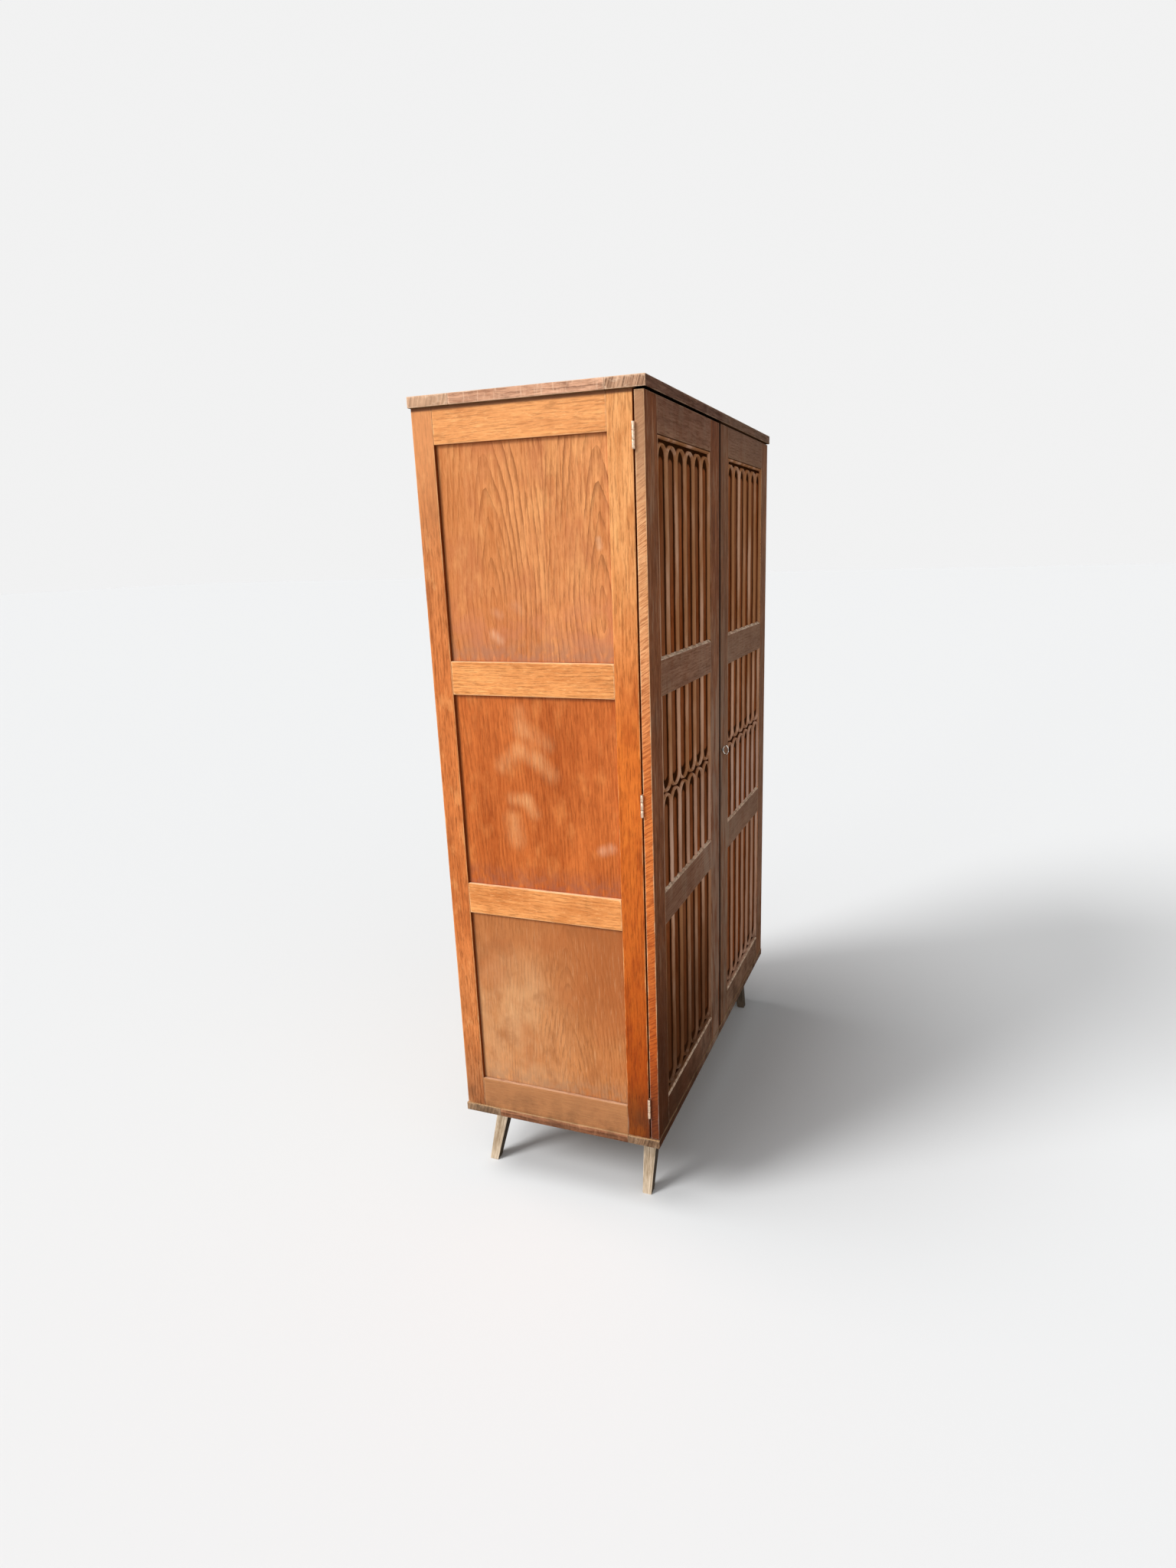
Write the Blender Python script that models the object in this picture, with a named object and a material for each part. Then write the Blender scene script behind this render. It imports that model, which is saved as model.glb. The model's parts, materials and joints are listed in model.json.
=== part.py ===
"""Two-door oak wardrobe: framed and panelled carcass, arcaded doors and splayed legs.

Metres, +Z up. The doors face -Y and the origin is on the floor under the middle.
"""

import math

import bmesh
import bpy
from mathutils import Matrix, Vector

for old in list(bpy.data.objects):
    bpy.data.objects.remove(old, do_unlink=True)

# Gap kept between pieces that touch, and the distance that counts as none
CLEARANCE = 0.0003
TINY = 1e-6

# Facets round each kind of bar
ROD_SIDES = 20
DOWEL_SIDES = 16
WIRE_SIDES = 8
BOW_STEPS = 20
SMOOTH_ANGLE = math.radians(40)

# Carcass
WIDTH = 1.118
BODY_HEIGHT = 1.634
SIDE_DEPTH = 0.4865
SIDE_THICKNESS = 0.022
TOP_THICKNESS = 0.022
BOTTOM_THICKNESS = 0.020

# How far the top and the bottom stand past the sides, the doors and the rear
TOP_SIDE_LIP = 0.006
TOP_FRONT_LIP = 0.005
TOP_REAR_LIP = 0.004
BOTTOM_SIDE_LIP = 0.003
BOTTOM_FRONT_LIP = 0.001
BOTTOM_REAR_LIP = 0.003

# Frames of the top and the bottom
SLAB_BACK_RAIL = 0.092
SLAB_END_RAIL = 0.080
SLAB_PANEL_THICKNESS = 0.008
SLAB_GROOVE_STOP = 0.022

# Framed sides
FRONT_STILE = 0.0535
REAR_STILE = 0.049
SIDE_TOP_RAIL = 0.0735
SIDE_MIDDLE_RAIL = 0.0735
SIDE_BOTTOM_RAIL = 0.0785
SIDE_PANEL_THICKNESS = 0.008
SIDE_PANEL_RECESS = 0.007
SIDE_TENON_LENGTH = 0.028
SIDE_TENON_THICKNESS = 0.009
SIDE_TENON_HEIGHT = 0.010
SIDE_TENON_INSET = 0.010
GROOVE_DEPTH = 0.008

# Back and interior fittings
BACK_THICKNESS = 0.005
BACK_REBATE = 0.008
SHELF_THICKNESS = 0.018
SHELF_DROP = 0.250
SHELF_FRONT_INSET = 0.012
BEARER_THICKNESS = 0.020
BEARER_HEIGHT = 0.075
BEARER_END_INSET = 0.015
RAIL_RADIUS = 0.0125
RAIL_DROP = 0.045
RAIL_SEAT = 0.012

# Legs, as the middle of each end
LEG_HEIGHT = 0.178
LEG_TOP_SIZE = 0.038
LEG_FOOT_SIZE = 0.023
LEG_END_INSET = 0.128
LEG_SPLAY = 0.067
LEG_FRONT_INSET = 0.057
LEG_FRONT_SPLAY = 0.0045
LEG_REAR_INSET = 0.052
LEG_REAR_SPLAY = 0.020
LEG_EDGE_ROUND = 0.002
LEG_DOWEL_RADIUS = 0.009
LEG_DOWEL_LENGTH = 0.012

# Doors
DOOR_THICKNESS = 0.0205
DOOR_END_GAP = 0.002
MEETING_GAP = 0.002
OUTER_STILE = 0.075
INNER_STILE = 0.085
DOOR_TOP_RAIL = 0.072
DOOR_MIDDLE_RAIL = 0.082
DOOR_BOTTOM_RAIL = 0.076
SILL_CHAMFER = 0.006
TENON_LENGTH = 0.028
TENON_THICKNESS = 0.0054
TENON_SHOULDER = 0.011

# Carved panels, as depths below the door's face
BAYS = 6
BEAD_WIDTH = 0.010
QUIRK_WIDTH = 0.004
CREST_DEPTH = 0.0008
REED_DEPTH = 0.0045
GROUND_DEPTH = 0.009
TONGUE_DEPTH = 0.0113
TONGUE_THICKNESS = 0.006
TONGUE_REACH = 0.007
ARC_STEPS = 8
CROSSING_GAP = 0.005

# Hinges
HINGE_GAP = 0.0036
HINGE_OFFSET = 0.0033
HINGE_LENGTH = 0.050
HINGE_FROM_END = 0.082
KNUCKLE_RADIUS = 0.0035
PIN_RADIUS = 0.0014
LEAF_THICKNESS = 0.0013
LEAF_WIDTH = 0.021
HINGE_SIDES = 12

# Lock and key
KEY_FROM_EDGE = 0.020
KEY_BOW_HEIGHT = 0.026
KEY_BOW_LENGTH = 0.016
KEY_WIRE_RADIUS = 0.0016
KEY_SHANK_RADIUS = 0.0024
KEY_COLLAR_RADIUS = 0.0042
KEY_COLLAR_LENGTH = 0.0025
KEY_BIT_REACH = 0.008
KEY_BIT_WIDTH = 0.006
KEY_BIT_THICKNESS = 0.0022
KEYHOLE_PLAY = 0.0005
LOCK_WIDTH = 0.046
LOCK_HEIGHT = 0.052
LOCK_DEPTH = 0.013
BOLT_WIDTH = 0.008
BOLT_THICKNESS = 0.005
BOLT_LENGTH = 0.038
BOLT_RISE = 0.015

# Heights
FLOOR_Z = LEG_HEIGHT + BOTTOM_THICKNESS
CEILING_Z = FLOOR_Z + BODY_HEIGHT
DOOR_LOW = FLOOR_Z + DOOR_END_GAP
DOOR_HIGH = CEILING_Z - DOOR_END_GAP
LOCK_Z = (DOOR_LOW + DOOR_HIGH) / 2

# Depths, set so that the whole outline is centred front to back
KEY_STANDOFF = 0.0004
KEY_REACH = KEY_STANDOFF + KEY_COLLAR_LENGTH + KEY_BOW_LENGTH
OVERALL_DEPTH = KEY_REACH + DOOR_THICKNESS + HINGE_GAP + SIDE_DEPTH + TOP_REAR_LIP
DOOR_FACE = KEY_REACH - OVERALL_DEPTH / 2
DOOR_BACK = DOOR_FACE + DOOR_THICKNESS
HINGE_Y = DOOR_BACK + HINGE_GAP / 2
SIDE_FRONT = DOOR_BACK + HINGE_GAP
SIDE_REAR = SIDE_FRONT + SIDE_DEPTH

# Widths
HALF = WIDTH / 2
INSIDE = HALF - SIDE_THICKNESS
HINGE_X = HALF + HINGE_OFFSET
DOOR_EDGE = MEETING_GAP / 2
OPENING_INNER = DOOR_EDGE + INNER_STILE
OPENING_OUTER = HALF - OUTER_STILE

LEVELS = ("bottom", "middle", "top")


def collection(name):
    """A new collection in the scene."""
    made = bpy.data.collections.new(name)
    bpy.context.scene.collection.children.link(made)
    return made


PARTS = collection("wardrobe")
CUTTERS = collection("cutters")


def material(name, colour, roughness, metallic=0.0):
    """A Principled material with one colour."""
    made = bpy.data.materials.new(name)
    made.use_nodes = True
    shader = made.node_tree.nodes["Principled BSDF"]
    shader.inputs["Base Color"].default_value = (*colour, 1.0)
    shader.inputs["Roughness"].default_value = roughness
    shader.inputs["Metallic"].default_value = metallic
    return made


def part(name, shape, look, pivot=(0, 0, 0), smooth=False):
    """A named part from a shape in world coordinates, with its origin at the pivot."""
    bmesh.ops.translate(shape, verts=shape.verts, vec=-Vector(pivot))
    bmesh.ops.recalc_face_normals(shape, faces=shape.faces)
    mesh = bpy.data.meshes.new(name)
    shape.to_mesh(mesh)
    shape.free()
    mesh.materials.append(look)
    if smooth:
        mesh.shade_smooth()
        mesh.set_sharp_from_angle(angle=SMOOTH_ANGLE)
    made = bpy.data.objects.new(name, mesh)
    made.location = pivot
    PARTS.objects.link(made)
    return made


def boolean(target, shape, operation):
    """Cut a closed shape out of a part, or join it on."""
    mesh = bpy.data.meshes.new(target.name + "_cutter")
    shape.to_mesh(mesh)
    shape.free()
    cutter = bpy.data.objects.new(mesh.name, mesh)
    cutter.hide_render = True
    cutter.display_type = "WIRE"
    CUTTERS.objects.link(cutter)
    modifier = target.modifiers.new(cutter.name, "BOOLEAN")
    modifier.operation = operation
    modifier.object = cutter


def cut(target, shape):
    """Take a closed shape out of a part."""
    boolean(target, shape, "DIFFERENCE")


def join(target, shape):
    """Add a closed shape to a part."""
    boolean(target, shape, "UNION")


def box(xs, ys, zs):
    """A closed box between pairs of limits, in either order."""
    low = Vector((min(xs), min(ys), min(zs)))
    high = Vector((max(xs), max(ys), max(zs)))
    shape = bmesh.new()
    bmesh.ops.create_cube(shape, size=1.0)
    bmesh.ops.scale(shape, vec=high - low, verts=shape.verts)
    bmesh.ops.translate(shape, vec=(low + high) / 2, verts=shape.verts)
    return shape


def cylinder(centre, radius, length, axis, sides):
    """A closed round bar about a point, along X, Y or Z."""
    turns = {
        "X": Matrix.Rotation(math.pi / 2, 3, "Y"),
        "Y": Matrix.Rotation(math.pi / 2, 3, "X"),
        "Z": Matrix.Identity(3),
    }
    shape = bmesh.new()
    bmesh.ops.create_cone(
        shape, cap_ends=True, segments=sides, radius1=radius, radius2=radius, depth=length
    )
    bmesh.ops.rotate(shape, matrix=turns[axis], verts=shape.verts)
    bmesh.ops.translate(shape, vec=centre, verts=shape.verts)
    return shape


def widen(limits, amount):
    """A pair of limits, low first, moved apart by the same amount."""
    return min(limits) - amount, max(limits) + amount


def edge_name(side):
    """The word for a side: -1 is left and 1 is right."""
    return "left" if side < 0 else "right"


def openings(low, high, rails):
    """Equal spaces between rails, given from the bottom rail up, as pairs of heights."""
    space = (high - low - sum(rails)) / (len(rails) - 1)
    found = []
    level = low
    for rail in rails[:-1]:
        level += rail
        found.append((level, level + space))
        level += space
    return found


def side_openings():
    """The three panel spaces of a side."""
    rails = (SIDE_BOTTOM_RAIL, SIDE_MIDDLE_RAIL, SIDE_MIDDLE_RAIL, SIDE_TOP_RAIL)
    return openings(FLOOR_Z, CEILING_Z, rails)


def door_openings():
    """The three panel spaces of a door."""
    rails = (DOOR_BOTTOM_RAIL, DOOR_MIDDLE_RAIL, DOOR_MIDDLE_RAIL, DOOR_TOP_RAIL)
    return openings(DOOR_LOW, DOOR_HIGH, rails)


def side_tenons(side):
    """The stub tenons that hold a side between the bottom and the top, as box limits."""
    middle = side * (HALF - SIDE_THICKNESS / 2)
    xs = widen((middle, middle), SIDE_TENON_THICKNESS / 2)
    front = SIDE_FRONT + SIDE_TENON_INSET
    rear = SIDE_REAR - SIDE_TENON_INSET
    for ys in ((front, front + SIDE_TENON_LENGTH), (rear - SIDE_TENON_LENGTH, rear)):
        yield xs, ys, (FLOOR_Z - SIDE_TENON_HEIGHT, FLOOR_Z + SIDE_TENON_HEIGHT)
        yield xs, ys, (CEILING_Z - SIDE_TENON_HEIGHT, CEILING_Z + SIDE_TENON_HEIGHT)


def build_side(side, frame_look, panel_look):
    """A glued side frame with three loose panels in its grooves."""
    name = edge_name(side)
    face = side * HALF
    inner = side * INSIDE
    heights = (FLOOR_Z + CLEARANCE, CEILING_Z - CLEARANCE)
    frame = part(
        name + "_side_frame", box((face, inner), (SIDE_FRONT, SIDE_REAR), heights), frame_look
    )
    for limits in side_tenons(side):
        join(frame, box(*limits))
    opening_ys = (SIDE_FRONT + FRONT_STILE, SIDE_REAR - REAR_STILE)
    panel_face = side * (HALF - SIDE_PANEL_RECESS)
    panel_back = side * (HALF - SIDE_PANEL_RECESS - SIDE_PANEL_THICKNESS)
    through = widen((face, inner), SIDE_THICKNESS)
    for level, zs in zip(LEVELS, side_openings()):
        cut(frame, box(through, opening_ys, zs))
        groove = (
            widen((panel_face, panel_back), CLEARANCE),
            widen(opening_ys, GROOVE_DEPTH),
            widen(zs, GROOVE_DEPTH),
        )
        cut(frame, box(*groove))
        tongue = GROOVE_DEPTH - CLEARANCE
        panel = box((panel_face, panel_back), widen(opening_ys, tongue), widen(zs, tongue))
        part(name + "_side_panel_" + level, panel, panel_look)
    rebate_x = (inner - side * BACK_REBATE, inner + side * BACK_REBATE)
    rebate_y = (SIDE_REAR - BACK_THICKNESS - CLEARANCE, SIDE_REAR + BACK_THICKNESS)
    cut(frame, box(rebate_x, rebate_y, widen(heights, SIDE_TENON_HEIGHT)))


def build_slab(name, zs, lips, look, panel_look):
    """A flat frame of four rails round a panel: the top or the bottom."""
    side_lip, front_lip, rear_lip = lips
    end = HALF + side_lip
    front_ys = (DOOR_FACE - front_lip, SIDE_FRONT + FRONT_STILE)
    back_ys = (SIDE_REAR - SLAB_BACK_RAIL, SIDE_REAR + rear_lip)
    middle = sum(zs) / 2
    panel_zs = widen((middle, middle), SLAB_PANEL_THICKNESS / 2)
    groove_zs = widen(panel_zs, CLEARANCE)
    tongue = GROOVE_DEPTH - CLEARANCE
    between = (front_ys[1], back_ys[0])
    front = part(name + "_front_rail", box((-end, end), front_ys, zs), look)
    back = part(name + "_back_rail", box((-end, end), back_ys, zs), look)
    groove_xs = widen((-end, end), -SLAB_GROOVE_STOP)
    cut(front, box(groove_xs, (front_ys[1] - GROOVE_DEPTH, front_ys[1] + GROOVE_DEPTH), groove_zs))
    cut(back, box(groove_xs, (back_ys[0] - GROOVE_DEPTH, back_ys[0] + GROOVE_DEPTH), groove_zs))
    for side in (-1, 1):
        outer = side * end
        inner = side * (end - SLAB_END_RAIL)
        rail = part(
            f"{name}_{edge_name(side)}_rail",
            box((outer, inner), widen(between, -CLEARANCE), zs),
            look,
        )
        stub_xs = (side * (end - SLAB_GROOVE_STOP - CLEARANCE), inner + side * GROOVE_DEPTH * 2)
        join(rail, box(stub_xs, widen(between, tongue), panel_zs))
        groove = (inner - side * GROOVE_DEPTH, inner + side * GROOVE_DEPTH)
        cut(rail, box(groove, widen(between, GROOVE_DEPTH * 2), groove_zs))
        for limits in side_tenons(side):
            hole = box(*(widen(pair, CLEARANCE) for pair in limits))
            touches = min(limits[2]) < zs[1] and max(limits[2]) > zs[0]
            if touches:
                cut(front if limits[1][0] < between[0] else back, hole)
            else:
                hole.free()
    panel_xs = widen((SLAB_END_RAIL - end, end - SLAB_END_RAIL), tongue)
    part(name + "_panel", box(panel_xs, widen(between, tongue), panel_zs), panel_look)
    return front, back


def build_back(look):
    """A thin back in the rebates of the two sides."""
    reach = INSIDE + BACK_REBATE - CLEARANCE
    ys = (SIDE_REAR - BACK_THICKNESS, SIDE_REAR)
    zs = (FLOOR_Z + CLEARANCE, CEILING_Z - CLEARANCE)
    part("back_panel", box((-reach, reach), ys, zs), look)


def build_interior(look, rod_look):
    """A hat shelf on two bearers, with a hanging rail between them."""
    shelf_top = CEILING_Z - SHELF_DROP
    shelf_low = shelf_top - SHELF_THICKNESS
    ys = (SIDE_FRONT + SHELF_FRONT_INSET, SIDE_REAR - BACK_THICKNESS - CLEARANCE * 2)
    reach = INSIDE - CLEARANCE
    part("hat_shelf", box((-reach, reach), ys, (shelf_low, shelf_top)), look)
    bearer_inner = reach - BEARER_THICKNESS
    rail_y = sum(ys) / 2
    rail_z = shelf_low - RAIL_DROP
    bearer_high = shelf_low - CLEARANCE
    bearer_zs = (bearer_high - BEARER_HEIGHT, bearer_high)
    seat = bearer_inner + RAIL_SEAT
    for side in (-1, 1):
        bearer = part(
            edge_name(side) + "_shelf_bearer",
            box((side * reach, side * bearer_inner), widen(ys, -BEARER_END_INSET), bearer_zs),
            look,
        )
        seat_middle = Vector((side * bearer_inner, rail_y, rail_z))
        cut(bearer, cylinder(seat_middle, RAIL_RADIUS + CLEARANCE, RAIL_SEAT * 2, "X", ROD_SIDES))
    length = 2 * (seat - CLEARANCE)
    rod = cylinder((0, rail_y, rail_z), RAIL_RADIUS, length, "X", ROD_SIDES)
    part("hanging_rail", rod, rod_look, smooth=True)


def build_leg(side, front, carrier, look):
    """A tapered square leg that leans out, with a round tenon up into the bottom."""
    name = f"{'front' if front else 'rear'}_{edge_name(side)}_leg"
    top = Vector((side * (HALF - LEG_END_INSET), DOOR_FACE + LEG_FRONT_INSET, LEG_HEIGHT))
    lean = Vector((side * LEG_SPLAY, -LEG_FRONT_SPLAY, -LEG_HEIGHT))
    if not front:
        top.y = SIDE_REAR - LEG_REAR_INSET
        lean.y = LEG_REAR_SPLAY
    shape = bmesh.new()
    bmesh.ops.create_cube(shape, size=1.0)
    for corner in shape.verts:
        high = corner.co.z > 0
        size = LEG_TOP_SIZE if high else LEG_FOOT_SIZE
        end = top - Vector((0, 0, CLEARANCE)) if high else top + lean
        corner.co = end + Vector((corner.co.x, corner.co.y, 0)) * size
    uprights = [
        edge for edge in shape.edges if abs(edge.verts[0].co.z - edge.verts[1].co.z) > LEG_HEIGHT / 2
    ]
    bmesh.ops.bevel(
        shape, geom=uprights, offset=LEG_EDGE_ROUND, segments=1, profile=0.5, affect="EDGES"
    )
    leg = part(name, shape, look)
    join(leg, cylinder(top, LEG_DOWEL_RADIUS, LEG_DOWEL_LENGTH * 2, "Z", DOWEL_SIDES))
    socket_length = (LEG_DOWEL_LENGTH + CLEARANCE) * 2
    cut(carrier, cylinder(top, LEG_DOWEL_RADIUS + CLEARANCE, socket_length, "Z", DOWEL_SIDES))


def bead_depth(offset):
    """Depth of a half-round bead at an offset from its crest line."""
    reach = min(abs(offset) / (BEAD_WIDTH / 2), 1.0)
    return GROUND_DEPTH - (GROUND_DEPTH - CREST_DEPTH) * math.sqrt(1 - reach**2)


def reed_depth(offset, half_width):
    """Depth of the low swelling that fills a bay, at an offset from its middle."""
    reach = min(abs(offset) / half_width, 1.0)
    return GROUND_DEPTH - (GROUND_DEPTH - REED_DEPTH) * (1 - reach**2)


def bay_sheet(bay, run, head):
    """One arched bay: half a turn of its section makes the head, and a straight draw the run."""
    bead_half = BEAD_WIDTH / 2
    shoulder = bead_half * math.sqrt(0.5)
    rib = bay / 2
    reed_half = rib - bead_half - QUIRK_WIDTH
    corner = math.hypot(rib, head) + bay
    stations = (
        0, reed_half * 0.6, reed_half, rib - bead_half, rib - shoulder,
        rib, rib + shoulder, rib + bead_half, corner,
    )
    sheet = bmesh.new()
    points = [sheet.verts.new((station, 0, 0)) for station in stations]
    lines = [sheet.edges.new(pair) for pair in zip(points, points[1:])]
    bmesh.ops.spin(
        sheet, geom=points + lines, cent=(0, 0, 0), axis=(0, -1, 0), angle=math.pi, steps=ARC_STEPS
    )
    bmesh.ops.remove_doubles(sheet, verts=sheet.verts, dist=TINY)
    for normal, reach in (((1, 0, 0), rib), ((-1, 0, 0), rib), ((0, 0, 1), head)):
        bmesh.ops.bisect_plane(
            sheet,
            geom=sheet.verts[:] + sheet.edges[:] + sheet.faces[:],
            plane_co=Vector(normal) * reach,
            plane_no=normal,
            dist=TINY,
            clear_outer=True,
        )
    feet = [edge for edge in sheet.edges if all(abs(end.co.z) < TINY for end in edge.verts)]
    drawn = bmesh.ops.extrude_edge_only(sheet, edges=feet)["geom"]
    lowered = [item for item in drawn if isinstance(item, bmesh.types.BMVert)]
    bmesh.ops.translate(sheet, vec=(0, 0, -run), verts=lowered)
    for point in sheet.verts:
        away = math.hypot(point.co.x, max(point.co.z, 0))
        point.co.y = min(bead_depth(away - rib), reed_depth(away, reed_half))
    return sheet


def outer_edges(sheet, axis, reach):
    """The edges along one straight border of a sheet."""
    return [
        edge
        for edge in sheet.edges
        if edge.is_boundary and all(abs(end.co[axis] - reach) < TINY for end in edge.verts)
    ]


def draw_out(sheet, edges, step):
    """Extrude border edges by a step and return the new points."""
    drawn = bmesh.ops.extrude_edge_only(sheet, edges=edges)["geom"]
    points = [item for item in drawn if isinstance(item, bmesh.types.BMVert)]
    bmesh.ops.translate(sheet, vec=step, verts=points)
    return points


def arcade_sheet(half_width, half_height, heads):
    """The carved face of a panel about its middle; heads is up, down or crossing."""
    bead_half = BEAD_WIDTH / 2
    shoulder = bead_half * math.sqrt(0.5)
    border = half_width - bead_half
    bay = 2 * border / BAYS
    crossing = heads == "crossing"
    crown = bay / 2 + bead_half
    head = crown + (CROSSING_GAP / 2 if crossing else 0)
    head_line = 0 if crossing else half_height - BEAD_WIDTH
    run = head_line + half_height - head
    sheet = bay_sheet(bay, run, head)
    first = sheet.verts[:] + sheet.edges[:] + sheet.faces[:]
    for index in range(1, BAYS):
        copied = bmesh.ops.duplicate(sheet, geom=first)["geom"]
        points = [item for item in copied if isinstance(item, bmesh.types.BMVert)]
        bmesh.ops.translate(sheet, vec=(bay * index, 0, 0), verts=points)
    shift = (bay / 2 - border, 0, head_line - head)
    bmesh.ops.translate(sheet, vec=shift, verts=sheet.verts)
    bmesh.ops.remove_doubles(sheet, verts=sheet.verts, dist=TINY)
    for reach in (border - shoulder, border - bead_half):
        for side in (-1, 1):
            bmesh.ops.bisect_plane(
                sheet,
                geom=sheet.verts[:] + sheet.edges[:] + sheet.faces[:],
                plane_co=(side * reach, 0, 0),
                plane_no=(side, 0, 0),
                dist=TINY,
            )
    for side in (-1, 1):
        draw_out(sheet, outer_edges(sheet, 0, side * border), (side * shoulder, 0, 0))
        edges = outer_edges(sheet, 0, side * (border + shoulder))
        draw_out(sheet, edges, (side * (bead_half - shoulder), 0, 0))
    bead_line = half_height - bead_half
    if not crossing:
        level = head_line
        for offset in (-shoulder, 0, shoulder, bead_half):
            step = bead_line + offset - level
            level += step
            draw_out(sheet, outer_edges(sheet, 2, level - step), (0, 0, step))
    for point in sheet.verts:
        inward = border - abs(point.co.x)
        if not crossing:
            inward = min(inward, bead_line - point.co.z)
        border_depth = bead_depth(inward)
        point.co.y = border_depth if inward < 0 else min(point.co.y, border_depth)
    if heads == "down":
        bmesh.ops.scale(sheet, vec=(1, 1, -1), verts=sheet.verts)
    if crossing:
        bmesh.ops.mirror(
            sheet, geom=sheet.verts[:] + sheet.edges[:] + sheet.faces[:], axis="Z", merge_dist=TINY
        )
    return sheet


def carved_panel(half_width, half_height, heads):
    """A carved face closed at the back, with a tongue all round."""
    sheet = arcade_sheet(half_width, half_height, heads)
    rim = draw_out(sheet, [edge for edge in sheet.edges if edge.is_boundary], (0, 0, 0))
    for point in rim:
        point.co.y = TONGUE_DEPTH
    rim = draw_out(sheet, [edge for edge in sheet.edges if edge.is_boundary], (0, 0, 0))
    for point in rim:
        if abs(point.co.x) > half_width - TINY:
            point.co.x += math.copysign(TONGUE_REACH, point.co.x)
        if abs(point.co.z) > half_height - TINY:
            point.co.z += math.copysign(TONGUE_REACH, point.co.z)
    draw_out(sheet, [edge for edge in sheet.edges if edge.is_boundary], (0, TONGUE_THICKNESS, 0))
    bmesh.ops.edgeloop_fill(sheet, edges=[edge for edge in sheet.edges if edge.is_boundary])
    bmesh.ops.recalc_face_normals(sheet, faces=sheet.faces)
    bmesh.ops.dissolve_limit(
        sheet, angle_limit=math.radians(0.05), verts=sheet.verts, edges=sheet.edges
    )
    return sheet


def door_rail(name, xs, zs, pivot, chamfered, look):
    """A rail with a tenon at each end and grooves for the panels."""
    shape = box(widen(xs, -CLEARANCE), (DOOR_FACE, DOOR_BACK), zs)
    if chamfered:
        sill = [
            edge
            for edge in shape.edges
            if all(end.co.z > zs[1] - TINY and end.co.y < DOOR_FACE + TINY for end in edge.verts)
        ]
        bmesh.ops.bevel(
            shape, geom=sill, offset=SILL_CHAMFER, segments=1, profile=0.5, affect="EDGES"
        )
    rail = part(name, shape, look, pivot)
    middle = DOOR_FACE + TONGUE_DEPTH + TONGUE_THICKNESS / 2
    tenon_ys = widen((middle, middle), TENON_THICKNESS / 2)
    join(rail, box(widen(xs, TENON_LENGTH), tenon_ys, widen(zs, -TENON_SHOULDER)))
    return rail


def groove_limits(direction, edge):
    """Depth and width of a panel groove that opens at an edge, on the side it faces."""
    ys = (DOOR_FACE + TONGUE_DEPTH - CLEARANCE, DOOR_FACE + TONGUE_DEPTH + TONGUE_THICKNESS + CLEARANCE)
    return ys, (edge - direction * GROOVE_DEPTH, edge + direction * GROOVE_DEPTH)


def build_door(side, frame_look, panel_look):
    """Two stiles, four rails and three carved panels, all turning on the hinge line."""
    name = edge_name(side) + "_door"
    pivot = (side * HINGE_X, HINGE_Y, DOOR_LOW)
    opening_xs = tuple(sorted((side * OPENING_INNER, side * OPENING_OUTER)))
    spaces = door_openings()
    ys = (DOOR_FACE, DOOR_BACK)
    heights = (DOOR_LOW, DOOR_HIGH)
    stile_limits = {
        "outer": (side * OPENING_OUTER, side * HALF),
        "inner": (side * DOOR_EDGE, side * OPENING_INNER),
    }
    rail_limits = [DOOR_LOW, *(level for space in spaces for level in space), DOOR_HIGH]
    rails = list(zip(("bottom", "lower", "upper", "top"), rail_limits[::2], rail_limits[1::2]))
    middle = DOOR_FACE + TONGUE_DEPTH + TONGUE_THICKNESS / 2
    mortise_ys = widen((middle, middle), TENON_THICKNESS / 2 + CLEARANCE)
    stiles = {}
    for place, xs in stile_limits.items():
        stile = part(f"{name}_{place}_stile", box(xs, ys, heights), frame_look, pivot)
        stiles[place] = stile
        edge = side * (OPENING_OUTER if place == "outer" else OPENING_INNER)
        facing = -side if place == "outer" else side
        groove_ys, groove_xs = groove_limits(facing, edge)
        groove_zs = widen((spaces[0][0], spaces[-1][1]), GROOVE_DEPTH)
        cut(stile, box(groove_xs, groove_ys, groove_zs))
        depth = TENON_LENGTH + CLEARANCE
        for _, low, high in rails:
            mortise_zs = widen((low, high), CLEARANCE - TENON_SHOULDER)
            cut(stile, box((edge - facing * depth, edge + facing * depth), mortise_ys, mortise_zs))
    for place, low, high in rails:
        chamfered = place != "top"
        rail = door_rail(f"{name}_{place}_rail", opening_xs, (low, high), pivot, chamfered, frame_look)
        groove_xs = widen(opening_xs, TENON_LENGTH)
        if place != "bottom":
            groove_ys, groove_zs = groove_limits(-1, low)
            cut(rail, box(groove_xs, groove_ys, groove_zs))
        if place != "top":
            groove_ys, groove_zs = groove_limits(1, high)
            cut(rail, box(groove_xs, groove_ys, groove_zs))
    half_width = (opening_xs[1] - opening_xs[0]) / 2 - CLEARANCE
    for level, heads, (low, high) in zip(LEVELS, ("down", "crossing", "up"), spaces):
        panel = carved_panel(half_width, (high - low) / 2 - CLEARANCE, heads)
        place = (sum(opening_xs) / 2, DOOR_FACE, (low + high) / 2)
        bmesh.ops.translate(panel, vec=place, verts=panel.verts)
        part(f"{name}_panel_{level}", panel, panel_look, pivot, smooth=True)
    return stiles["inner"]


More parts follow.
